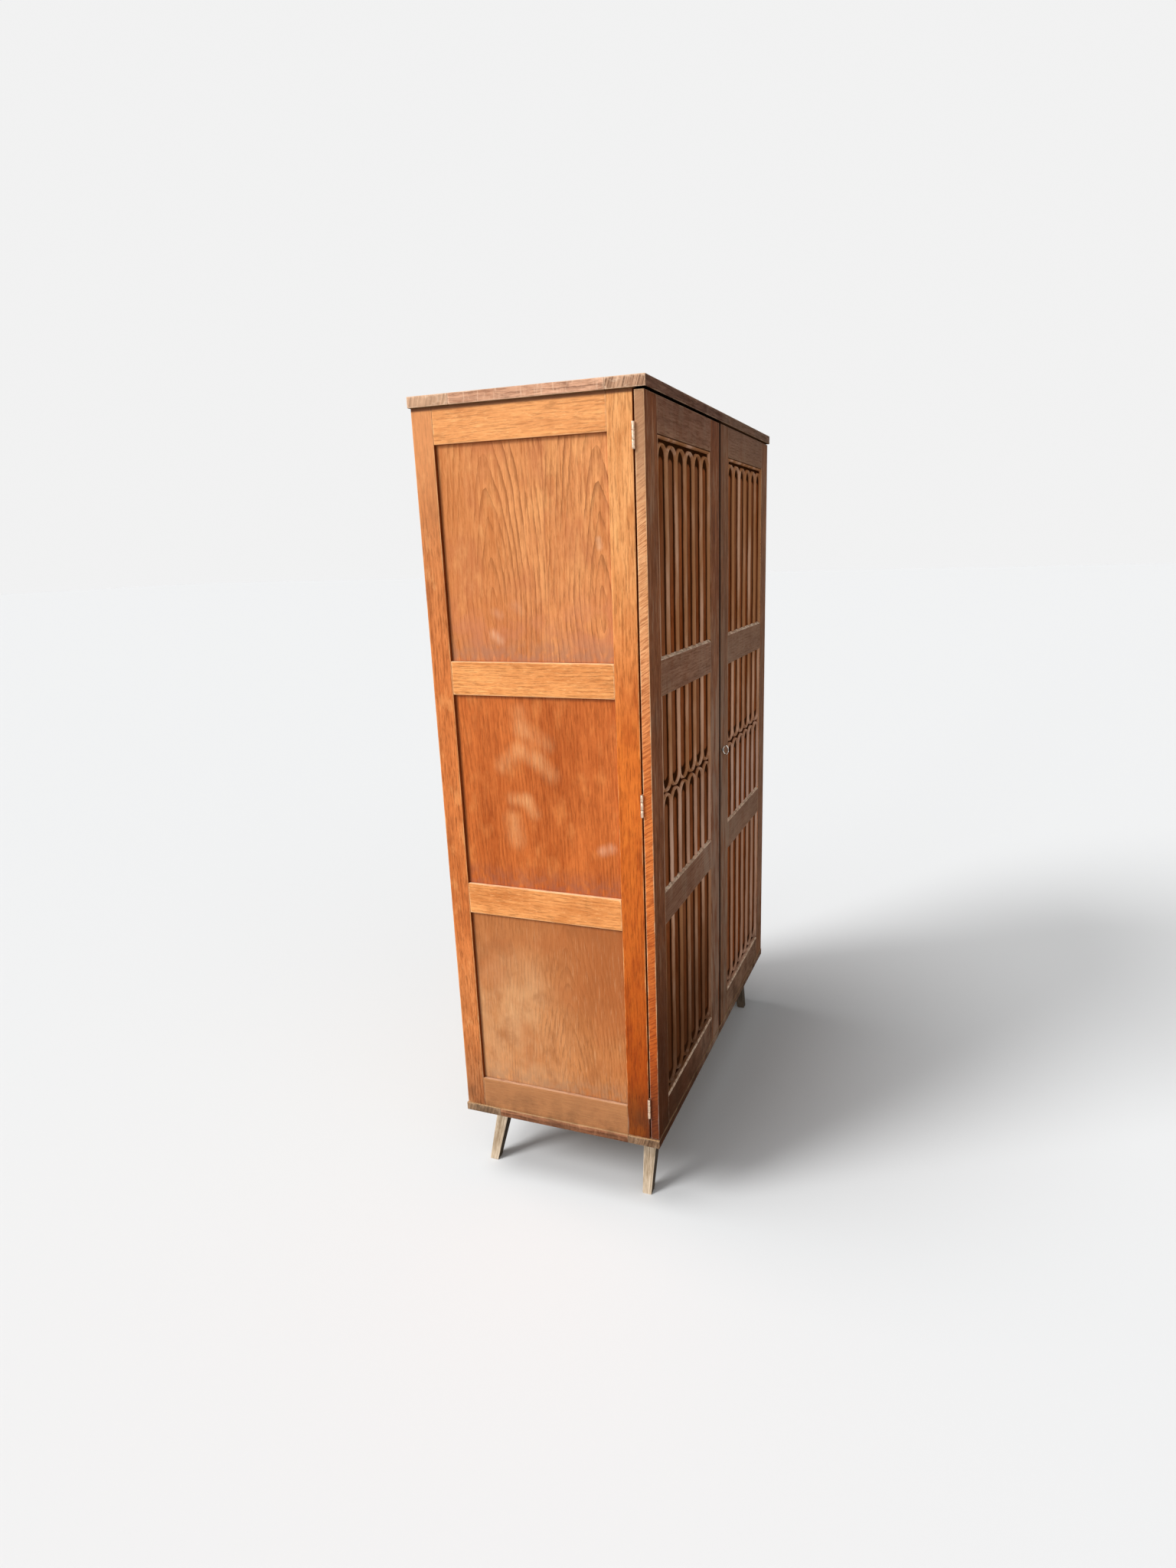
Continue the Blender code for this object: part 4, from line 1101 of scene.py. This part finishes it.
# %% A drill
def drill(shape, tool):
    """Cut one bmesh out of another."""
    things = []
    for source in (shape, tool):
        things.append(put("drilled", as_mesh("drilled", source)))
    change = things[0].modifiers.new("hole", "BOOLEAN")
    change.object = things[1]
    change.solver = "EXACT"
    result = bmesh.new()
    result.from_object(things[0], bpy.context.evaluated_depsgraph_get())
    for thing in things:
        mesh = thing.data
        bpy.data.objects.remove(thing)
        bpy.data.meshes.remove(mesh)
    return result


print("drill ready")

# %% Stiles and rails
SILL = 0.006
MEETING_ROUND = 0.004
DROOP = {"left_door": 0.0013, "right_door": 0.0006}
KEYHOLE_RADIUS = 0.0029
KEYHOLE_DROP = 0.0085
KEYHOLE_SLOT = 0.0016
DRILL_PAST = 0.01
DRILL_LENGTH = 0.1

key_low, key_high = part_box("key")
key_x = (key_low.x + key_high.x) / 2
key_z = (key_low.z + key_high.z) / 2


def dress_door_frame(name):
    for place in ("outer", "inner"):
        node = f"{name}_{place}_stile"
        low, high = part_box(node)
        high.z -= DROOP[name]
        meeting = min(low.x, high.x, key=abs)
        shape = plane_board(low, high, (X, meeting, MEETING_ROUND, 4) if place == "inner" else None)
        if low.x < key_x < high.x:
            middle = (key_x, (low.y + high.y) / 2, key_z)
            shape = drill(shape, rod(middle, KEYHOLE_RADIUS, DRILL_LENGTH, (0, 1, 0), 24))
            corner = (key_x - KEYHOLE_SLOT, low.y - DRILL_PAST, key_z - KEYHOLE_DROP)
            far = (key_x + KEYHOLE_SLOT, high.y + DRILL_PAST, key_z)
            shape = drill(shape, cube_between(corner, far))
        note_grain(shape, low, high, Z)
        if place == "outer":
            paint(shape, (-1, 0, 0), 1)
            paint(shape, (1, 0, 0), 1)
        else:
            # Painted shade: the faces of the inner stile towards the meeting take the black meeting finish.
            for reach in (0.0, 0.5, 1.0):
                paint(shape, (-1 if meeting > 0 else 1, -reach, 0), 1)
        edge_look = DOOR_EDGE_OAK if place == "outer" else MEETING_EDGE_SHADE_OAK
        place_piece(node + "_board", shape, [node], [DOOR_OAK, edge_look])
    stiles = [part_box(f"{name}_{place}_stile") for place in ("outer", "inner")]
    left = min(box[1].x for box in stiles)
    right = max(box[0].x for box in stiles)
    for place in ("bottom", "lower", "upper", "top"):
        node = f"{name}_{place}_rail"
        low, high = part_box(node)
        low.x, high.x = left + GAP, right - GAP
        if place == "top":
            high.z -= DROOP[name]
        shape = board(low, high, X, None if place == "top" else (Z, high.z, SILL, 1))
        if place != "top":
            paint(shape, (0, -1, 1), 1)
        place_piece(node + "_board", shape, [node], [DOOR_RAIL_OAK, SILL_OAK])
    return left, right


openings = {name: dress_door_frame(name) for name in ("left_door", "right_door")}
print("door openings", openings, "boards so far", boards_made)

# %% [markdown]
# ## Carved panels
# The carving is the show piece: six round-headed bays to a panel, parted by ribs, with a low
# swelling down each bay. The top panel has its heads up, the bottom one has them down, and in the
# middle two rows meet head to head. It could be sculpted, but the pattern is exact: half a turn of
# one cross-section makes an arch, and drawing the section down makes the bay below it. Bays are
# copied side by side, and last a little unevenness is added, since it was cut by hand. Two numbers
# stay on every point for the finish: how high it stands in the relief, and whether it is on a rib.

# %% The cross-section of the carving
BAYS = 6
RIB = 0.016
ARCH_RIB = 0.0065
EDGE_RIB = 0.0075
HEAD_GAP = 0.006
QUIRK = 0.006
CREST = 0.0008
SWELLING = 0.0045
HOLLOW = 0.009
HEAD_DROP = 0.006
PANEL_BACK = 0.0173
ARCH_STEPS = 20
ARCH_TAPER = 1.6
SWELLING_STEPS = (0, 0.3, 0.55, 0.75, 0.9, 1)
RUN_STEPS = 9
CROSSING_GAP = 0.0025
RIB_TURNS = (-90, -70, -52, -36, -22, -10, 0, 10, 22, 36, 52, 70, 90)
RIB_STEPS = [math.sin(math.radians(turn)) for turn in RIB_TURNS]


def rib_height(offset, width):
    """How high a half-round rib stands at an offset from its crest line: 1 there, 0 at its foot."""
    reach = min(abs(offset) / (width / 2), 1.0)
    return math.sqrt(1 - reach**2)


def depth_at(height):
    """Depth below the face for a height of 0 in the hollow to 1 on a crest."""
    return HOLLOW - (HOLLOW - CREST) * height


def swelling_depth(offset, half_width):
    """Depth of the swelling in a bay at an offset from its middle."""
    reach = min(abs(offset) / half_width, 1.0)
    return HOLLOW - (HOLLOW - SWELLING) * (1 - reach**2)


print("depths of rib and swelling", depth_at(1), swelling_depth(0, 1))

# %% One bay
def draw_out(sheet, edges, step):
    """Extrude edges by a step and return the new points."""
    drawn = bmesh.ops.extrude_edge_only(sheet, edges=edges)["geom"]
    points = [item for item in drawn if isinstance(item, bmesh.types.BMVert)]
    bmesh.ops.translate(sheet, vec=step, verts=points)
    return points


def border_edges(sheet, axis, reach):
    """The open edges that lie at one limit of a sheet."""
    return [
        edge for edge in sheet.edges
        if edge.is_boundary and all(abs(end.co[axis] - reach) < TINY for end in edge.verts)
    ]


def slice_sheet(sheet, normal, reach, clear):
    bmesh.ops.bisect_plane(
        sheet, geom=all_of(sheet), plane_co=Vector(normal) * reach, plane_no=normal, dist=TINY,
        clear_outer=clear,
    )


def carve_bay(bay, run, head):
    """Half a turn of the section for the arch, then its foot drawn down in steps."""
    middle = bay / 2
    swelling_half = middle - RIB / 2 - QUIRK
    stations = [swelling_half * share for share in SWELLING_STEPS]
    stations += [middle + RIB / 2 * step for step in RIB_STEPS]
    stations.append(math.hypot(middle, head) + bay)
    sheet = bmesh.new()
    on_rib = sheet.verts.layers.float.new("rib")
    points = [sheet.verts.new((station, 0, 0)) for station in stations]
    lines = [sheet.edges.new(pair) for pair in zip(points, points[1:])]
    bmesh.ops.spin(
        sheet, geom=points + lines, cent=(0, 0, 0), axis=(0, -1, 0), angle=math.pi, steps=ARCH_STEPS
    )
    bmesh.ops.remove_doubles(sheet, verts=sheet.verts, dist=TINY)
    slice_sheet(sheet, (1, 0, 0), middle, True)
    slice_sheet(sheet, (-1, 0, 0), middle, True)
    slice_sheet(sheet, (0, 0, 1), head, True)
    for step in range(RUN_STEPS):
        draw_out(sheet, border_edges(sheet, 2, -run * step / RUN_STEPS), (0, 0, -run / RUN_STEPS))
    for point in sheet.verts:
        rise = max(point.co.z, 0)
        away = math.hypot(point.co.x, rise)
        share = min(rise / middle, 1)
        swelling = min(swelling_depth(away, swelling_half) + share * HEAD_DROP, HOLLOW)
        height = rib_height(away - middle, RIB + (ARCH_RIB - RIB) * min(share * ARCH_TAPER, 1))
        point.co.y = min(depth_at(height), swelling)
        point[on_rib] = height
    return sheet


print("bay function ready")

# %% A whole panel
WAVES_ACROSS = 14
WAVES_ALONG = 6
WANDER = 0.0024
UNEVEN_DEPTH = 0.0005
FLAT_ANGLE = 0.01
BACK_CLEAR = 0.001


def carve_face(half_width, half_height, heads):
    """The carved face about its middle, with a rib along the border."""
    border = half_width - EDGE_RIB / 2
    bay = 2 * border / BAYS
    crossing = heads == "crossing"
    head = bay / 2 + ARCH_RIB / 2 + (CROSSING_GAP / 2 if crossing else HEAD_GAP)
    head_line = 0 if crossing else half_height - EDGE_RIB
    sheet = carve_bay(bay, head_line + half_height - head, head)
    first = all_of(sheet)
    for index in range(1, BAYS):
        copied = bmesh.ops.duplicate(sheet, geom=first)["geom"]
        points = [item for item in copied if isinstance(item, bmesh.types.BMVert)]
        bmesh.ops.translate(sheet, vec=(bay * index, 0, 0), verts=points)
    bmesh.ops.translate(sheet, vec=(bay / 2 - border, 0, head_line - head), verts=sheet.verts)
    bmesh.ops.remove_doubles(sheet, verts=sheet.verts, dist=TINY)
    inner_steps = [EDGE_RIB / 2 * step for step in RIB_STEPS if step < 0]
    outer_steps = [EDGE_RIB / 2 * step for step in RIB_STEPS if step > 0]
    for side in (-1, 1):
        for step in inner_steps:
            slice_sheet(sheet, (side, 0, 0), border + step, False)
        level = border
        for step in outer_steps:
            edges = border_edges(sheet, 0, side * level)
            draw_out(sheet, edges, (side * (border + step - level), 0, 0))
            level = border + step
    rib_line = half_height - EDGE_RIB / 2
    if not crossing:
        level = head_line
        for step in inner_steps[1:] + [0.0] + outer_steps:
            draw_out(sheet, border_edges(sheet, 2, level), (0, 0, rib_line + step - level))
            level = rib_line + step
    on_rib = sheet.verts.layers.float["rib"]
    for point in sheet.verts:
        inward = border - abs(point.co.x)
        if not crossing:
            inward = min(inward, rib_line - point.co.z)
        height = rib_height(inward, EDGE_RIB)
        point.co.y = depth_at(height) if inward < 0 else min(point.co.y, depth_at(height))
        point[on_rib] = height if inward < 0 else max(point[on_rib], height)
    if heads == "down":
        bmesh.ops.scale(sheet, vec=(1, 1, -1), verts=sheet.verts)
    if crossing:
        bmesh.ops.mirror(sheet, geom=all_of(sheet), axis="Z", merge_dist=TINY)
    return sheet


def roughen(sheet, half_width, half_height, seed):
    """Small hand-cut unevenness that dies out at the border."""
    for point in sheet.verts:
        inset = min(half_width - abs(point.co.x), half_height - abs(point.co.z))
        share = min(max(inset, 0) / EDGE_RIB, 1.0)
        spot = Vector((point.co.x * WAVES_ACROSS, seed, point.co.z * WAVES_ALONG))
        point.co.x += share * WANDER * noise.noise(spot)
        point.co.y += share * UNEVEN_DEPTH * noise.noise(spot * 4)


def carved_panel(half_width, half_height, heads, seed):
    """A carved face with sides and a flat back, and the values that its finish reads."""
    sheet = carve_face(half_width, half_height, heads)
    roughen(sheet, half_width, half_height, seed)
    rim = draw_out(sheet, [edge for edge in sheet.edges if edge.is_boundary], (0, 0, 0))
    on_rib = sheet.verts.layers.float["rib"]
    for point in rim:
        point.co.y = PANEL_BACK
        point[on_rib] = 0
    bmesh.ops.edgeloop_fill(sheet, edges=[edge for edge in sheet.edges if edge.is_boundary])
    plain = [edge for point in rim for edge in point.link_edges]
    bmesh.ops.dissolve_limit(sheet, angle_limit=FLAT_ANGLE, verts=rim, edges=list(set(plain)))
    back = [face for face in sheet.faces if all(corner.co.y > HOLLOW + BACK_CLEAR for corner in face.verts)]
    bmesh.ops.inset_region(sheet, faces=back, thickness=EDGE_MARGIN)
    bmesh.ops.recalc_face_normals(sheet, faces=sheet.faces)
    low = Vector((-half_width, 0, -half_height))
    high = Vector((half_width, PANEL_BACK, half_height))
    note_grain(sheet, low, high, Z)
    crest = sheet.verts.layers.float.new("crest")
    for point in sheet.verts:
        point[crest] = max((HOLLOW - point.co.y) / (HOLLOW - CREST), 0)
    return sheet


print("panel function ready")

# %% [markdown]
# ## The finish of the carving
# The hollows are painted near black, partly stain and old polish and partly painted shade, the
# swellings are still red, and the ribs are rubbed to a pale brown, no two quite alike. The numbers on
# the mesh let the finish follow the relief with no painting.

# %% Carved oak
def carved_finish():
    oak = Oak(
        "carved_oak", (0.21, 0.048, 0.01), (0.5, 0.135, 0.038), gap=0.006, rings=0.3, pores=0.45,
        gloss=0.0,
    )
    crest = oak.read("crest", "Fac")
    rib = oak.read("rib", "Fac")
    oak.spot((22, 3, 2), 0.42, 0.62, (0.34, 0.15, 0.07), 0.5)
    # Painted shade with old stain: the low parts of the relief go near black.
    oak.layer(soft_step(crest, 0.42, 0.1), (0.035, 0.011, 0.003), 0.93)
    patches = cloud(oak.place, (34, 3, 8), 4.0, 0.62)
    rubbed = soft_step(add(rib, times(patches, 0.5)), 0.42, 0.8)
    oak.layer(rubbed, (0.54, 0.24, 0.104), 0.92)
    oak.layer(times(rubbed, oak.spots((26, 3, 3), 0.45, 0.66)), (0.88, 0.52, 0.34), 0.8)
    dusty = times(rubbed, oak.ramp("X", -0.35, 0.3), oak.ramp("Z", 1.3, 0.8))
    oak.layer(dusty, (0.76, 0.5, 0.4), 0.4)
    wiped = times(rubbed, oak.ramp("Z", 1.02, 0.95), oak.ramp("Z", 0.7, 0.78))
    oak.layer(wiped, (0.86, 0.62, 0.52), 0.3)
    shadow = times(oak.ramp("X", 0.1, -0.2), oak.ramp("Z", 0.78, 0.4))
    oak.layer(shadow, (0.06, 0.018, 0.006), 0.68)
    oak.soil(0.5, 0.05)
    return oak.close()


CARVED_OAK = carved_finish()
print("carved finish nodes", len(CARVED_OAK.node_tree.nodes))

# %% Place the six panels
HEADS = {"bottom": "down", "middle": "crossing", "top": "up"}
BETWEEN = {"bottom": ("bottom", "lower"), "middle": ("lower", "upper"), "top": ("upper", "top")}
SEED_BY_DOOR = 3.7
SEED_BY_HEIGHT = 5

for number, (door, (left, right)) in enumerate(openings.items()):
    for level, heads in HEADS.items():
        under, over = BETWEEN[level]
        low_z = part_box(f"{door}_{under}_rail")[1].z
        high_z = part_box(f"{door}_{over}_rail")[0].z
        half_width = (right - left) / 2 - GAP
        half_height = (high_z - low_z) / 2 - GAP
        seed = number * SEED_BY_DOOR + low_z * SEED_BY_HEIGHT
        shape = carved_panel(half_width, half_height, heads, seed)
        middle = ((left + right) / 2, face_y, (low_z + high_z) / 2)
        bmesh.ops.translate(shape, vec=middle, verts=shape.verts)
        paint(shape, (0, 1, 0), 1)
        node = f"{door}_panel_{level}"
        made = place_piece(f"{door}_carving_{level}", shape, [node], [CARVED_OAK, DOOR_OAK])
        print(made.name, len(made.data.polygons), "faces")

# %% [markdown]
# ## Legs
# The legs are bare tapered sticks of square section that lean outwards. A leg starts as an upright
# cube, gets its rounded edges and its grain, and is tapered and sheared into place last, so the
# grain still runs along it.

# %% Four legs
LEG_TOP = 0.038
LEG_FOOT = 0.023
LEG_ROUND = 0.0025
END_CUTS = (0.004, 0.02)
FRONT_SPLAY = 0.0045


def leg_shape(node):
    low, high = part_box(node)
    left = low.x < 0
    front = low.y < 0
    foot_x = low.x + LEG_FOOT / 2 if left else high.x - LEG_FOOT / 2
    top_x = high.x - LEG_TOP / 2 if left else low.x + LEG_TOP / 2
    top_y = high.y - LEG_TOP / 2 if front else low.y + LEG_TOP / 2
    foot_y = top_y - FRONT_SPLAY if front else high.y - LEG_FOOT / 2
    height = leg_z - GAP
    corner = Vector((LEG_TOP / 2, LEG_TOP / 2, height))
    shape = cube_between((-corner.x, -corner.y, 0), corner)
    for reach in (*END_CUTS, height / 2, *(height - cut for cut in reversed(END_CUTS))):
        bmesh.ops.bisect_plane(shape, geom=all_of(shape), plane_co=(0, 0, reach), plane_no=(0, 0, 1))
    bevel_edges(shape, sharp_edges(shape), LEG_ROUND, 3)
    note_grain(shape, (-corner.x, -corner.y, 0), corner, Z)
    for point in shape.verts:
        share = point.co.z / height
        size = (LEG_FOOT + (LEG_TOP - LEG_FOOT) * share) / LEG_TOP
        point.co.x = foot_x + (top_x - foot_x) * share + point.co.x * size
        point.co.y = foot_y + (top_y - foot_y) * share + point.co.y * size
    return shape


for node in ("front_left_leg", "front_right_leg", "rear_left_leg", "rear_right_leg"):
    shape = leg_shape(node)
    # Painted shade: the faces that look to the front, and the whole front right leg, get the dark leg
    # finish.
    paint(shape, (0, -1, 0), 1)
    looks = [LEG_SHADE_WOOD if node == "front_right_leg" else LEG_WOOD, LEG_SHADE_WOOD]
    place_piece(node + "_stick", shape, [node], looks)
print("legs dressed, boards so far", boards_made)

# %% [markdown]
# ## Metal
# The hinges are brass, rubbed bright on the knuckles. The ring of the key and the bolt are bright
# steel, and the rest of the key and the lock case are dark iron. Metal shows its age by patches of
# tarnish, so colour and roughness both follow one noise.

# %% Metal finishes
def metal_finish(name, bright, dull, rough_bright, rough_dull, size):
    look, tree, shader = start_look(name, rough_dull, 1.0)
    place = wire(tree, "TexCoord").outputs["Object"]
    tarnish = soft_step(cloud(place, (size, size, size), 5.0, 0.65), 0.42, 0.66)
    scratches = cloud(place, (size * 9, size * 9, size * 1.5), 2.0)
    colour = blend(tarnish, (*bright, 1.0), (*dull, 1.0))
    rough = wire(tree, "MapRange", {"Value": tarnish, "To Min": rough_bright, "To Max": rough_dull})
    bump = wire(tree, "Bump", {"Height": scratches, "Strength": 0.15, "Distance": 0.0002})
    feed(tree, shader, {"Base Color": colour, "Roughness": rough.outputs[0], "Normal": bump.outputs[0]})
    return look


BRASS = metal_finish("hinge_brass", (0.8, 0.59, 0.43), (0.53, 0.375, 0.25), 0.3, 0.45, 220.0)
STEEL = metal_finish("key_steel", (0.9, 0.87, 0.8), (0.16, 0.14, 0.12), 0.16, 0.42, 150.0)
IRON = metal_finish("lock_iron", (0.2, 0.19, 0.18), (0.08, 0.07, 0.065), 0.45, 0.65, 120.0)
print("metal finishes", BRASS.name, STEEL.name, IRON.name)

# %% [markdown]
# ## Hinges
# A butt hinge has two leaves that interlock at the knuckles: the leaf on the side carries the upper
# and lower knuckle, and the leaf on the door carries the middle one. The pin is hidden in them, so
# it isn't made here. The leaves are plates with rounded edges, held by slotted screws that only
# show when a door is open.

# %% Six hinges
KNUCKLE = 0.0035
KNUCKLE_ROUND = 0.0005
PLATE_ROUND = 0.0003
LEAF = 0.0013
KNUCKLE_GAP = 0.0003
SCREW_RADIUS = 0.0026
SCREW_PROUD = 0.00012
SCREW_ROUND = 0.6
SLOT_LENGTH = 0.85
SLOT_WIDTH = 0.13
SLOT_RISE = 1.15
SCREW_PLACES = ((0.2, -0.002), (0.5, 0.004), (0.8, -0.002))


def plate(low, high, edge_round=PLATE_ROUND):
    """A metal plate with slightly rounded edges."""
    low, high = (Vector(sorted(pair)[end] for pair in zip(low, high)) for end in (0, 1))
    shape = cube_between(low, high)
    bevel_edges(shape, shape.edges[:], edge_round, 2)
    return shape


def screw(middle, axis, radius, proud):
    """A flat screw head with a slot, standing a little proud of a face."""
    facing = Vector(axis)
    head = round_ends(rod(Vector(middle), radius, proud * 2, facing, 24), proud * SCREW_ROUND)
    side = facing.orthogonal().normalized()
    other = facing.cross(side)
    reach = side * radius * SLOT_LENGTH + other * radius * SLOT_WIDTH + facing * proud * SLOT_RISE
    slot = cube_between(Vector(middle) - reach, Vector(middle) + reach)
    paint(slot, None, 1)
    return gather([head, slot])


def hinge_leaf(node, side, on_door):
    low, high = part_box(node)
    axis_x = (low.x if side < 0 else high.x) - side * KNUCKLE
    axis_y = (low.y + high.y) / 2
    third = (high.z - low.z) / 3
    inner_x = low.x if side > 0 else high.x
    sign = -1 if on_door else 1
    far_y = axis_y + sign * LEAF
    spans = [(low.z, low.z + third), (low.z + third, high.z - third), (high.z - third, high.z)]
    own = spans[1:2] if on_door else spans[::2]
    root_x = axis_x - side * (KNUCKLE + KNUCKLE_GAP)
    shapes = [plate((inner_x, axis_y, low.z), (root_x, far_y, high.z))]
    for under, over in own:
        height = over - under - 2 * KNUCKLE_GAP
        middle = Vector((axis_x, axis_y, (under + over) / 2))
        shapes.append(round_ends(rod(middle, KNUCKLE, height, (0, 0, 1), 32), KNUCKLE_ROUND))
        tab_z = (middle.z - height / 2, middle.z + height / 2)
        shapes.append(plate((axis_x, axis_y, tab_z[0]), (root_x, far_y, tab_z[1])))
    for share, shift in SCREW_PLACES:
        screw_x = (inner_x + root_x) / 2 + side * shift
        place = (screw_x, axis_y, low.z + (high.z - low.z) * share)
        shapes.append(screw(place, (0, -sign, 0), SCREW_RADIUS, SCREW_PROUD))
    return gather(shapes)


for side, name in ((-1, "left"), (1, "right")):
    for level in ("top", "middle", "bottom"):
        for leaf in ("carcass", "door"):
            node = f"{name}_hinge_{level}_{leaf}_leaf"
            place_piece(node + "_brass", hinge_leaf(node, side, leaf == "door"), [node], [BRASS, IRON])
print("hinges dressed")

# %% [markdown]
# ## Lock and key
# A key with an oval ring stands in the right door. Turned, it moves a bolt out of an iron case that
# is screwed to the back of the door. The ring of the key is a circle spun round and pressed oval,
# and the shank, the collar and the bit are bars and plates.

# %% Key, bolt and lock case
BOW_LENGTH = 0.016
BOW_WIRE = 0.0016
COLLAR_RADIUS = 0.0042
COLLAR_LENGTH = 0.0025
COLLAR_ROUND = 0.0006
SHANK_RADIUS = 0.0024
SHANK_ROUND = 0.0004
BIT_REACH = 0.008
BIT_THICKNESS = 0.0022
BIT_WIDTH = 0.0054
BIT_PLAY = 0.0005
BOLT_ROUND = 0.0006
BOLT_SLOT = 0.05
CASE_ROUND = 0.0012
CASE_SCREWS = [(x, z) for x in (0.15, 0.85) for z in (0.14, 0.86)]
CASE_SCREW_RADIUS = 0.003
CASE_SCREW_PROUD = 0.0008


def key_shape():
    front_y, back_y = key_low.y, key_high.y
    bow_height = key_high.z - key_low.z
    bow = bmesh.new()
    bmesh.ops.create_circle(bow, segments=20, radius=BOW_WIRE)
    bmesh.ops.translate(bow, vec=(0, bow_height / 2 - BOW_WIRE, 0), verts=bow.verts)
    bmesh.ops.spin(
        bow, geom=bow.verts[:] + bow.edges[:], cent=(0, 0, 0), axis=(1, 0, 0), angle=math.tau,
        steps=56, use_merge=True,
    )
    bmesh.ops.recalc_face_normals(bow, faces=bow.faces)
    bmesh.ops.scale(bow, vec=(1, BOW_LENGTH / bow_height, 1), verts=bow.verts)
    bmesh.ops.translate(bow, vec=(key_x, front_y + BOW_LENGTH / 2, key_z), verts=bow.verts)
    collar_middle = (key_x, front_y + BOW_LENGTH + COLLAR_LENGTH / 2, key_z)
    collar = round_ends(rod(collar_middle, COLLAR_RADIUS, COLLAR_LENGTH, (0, 1, 0)), COLLAR_ROUND, 3)
    shank_front = front_y + BOW_LENGTH - 2 * BOW_WIRE
    shank_middle = (key_x, (shank_front + back_y) / 2, key_z)
    shank = rod(shank_middle, SHANK_RADIUS, back_y - shank_front, (0, 1, 0))
    shank = round_ends(shank, SHANK_ROUND)
    corner = (key_x - BIT_THICKNESS / 2, back_y - GAP - BIT_WIDTH, key_z - BIT_REACH)
    bit = plate(corner, (key_x + BIT_THICKNESS / 2, back_y - GAP, key_z))
    for dark in (collar, shank, bit):
        paint(dark, None, 1)
    return gather([bow, collar, shank, bit])


place_piece("key_with_ring", key_shape(), ["key"], [STEEL, IRON])

bolt_low, bolt_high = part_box("lock_bolt")
place_piece("bolt_bar", plate(bolt_low, bolt_high, BOLT_ROUND), ["lock_bolt"], [STEEL])

case_low, case_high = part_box("lock_case")
case = plate(case_low, case_high, CASE_ROUND)
play = Vector((GAP, GAP, GAP))
past = Vector((BOLT_SLOT, GAP, GAP))
case = drill(case, cube_between(bolt_low - past, bolt_high + play))
depth = key_high.y - case_low.y + 2 * BIT_PLAY
chamber = rod((key_x, case_low.y, key_z), BIT_REACH + BIT_PLAY, 2 * depth, (0, 1, 0))
case = drill(case, chamber)
case_size = case_high - case_low
screws = []
for share_x, share_z in CASE_SCREWS:
    spot = (case_low.x + case_size.x * share_x, case_high.y, case_low.z + case_size.z * share_z)
    screws.append(screw(spot, (0, 1, 0), CASE_SCREW_RADIUS, CASE_SCREW_PROUD))
place_piece("lock_box", gather([case, *screws]), ["lock_case"], [IRON, STEEL])
print("lock and key dressed")

# %% [markdown]
# ## Finish
# The last step prints the box of the dressed wardrobe.

# %% Size of the dressed wardrobe
low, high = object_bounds()
print("visual box", tuple(low), tuple(high))
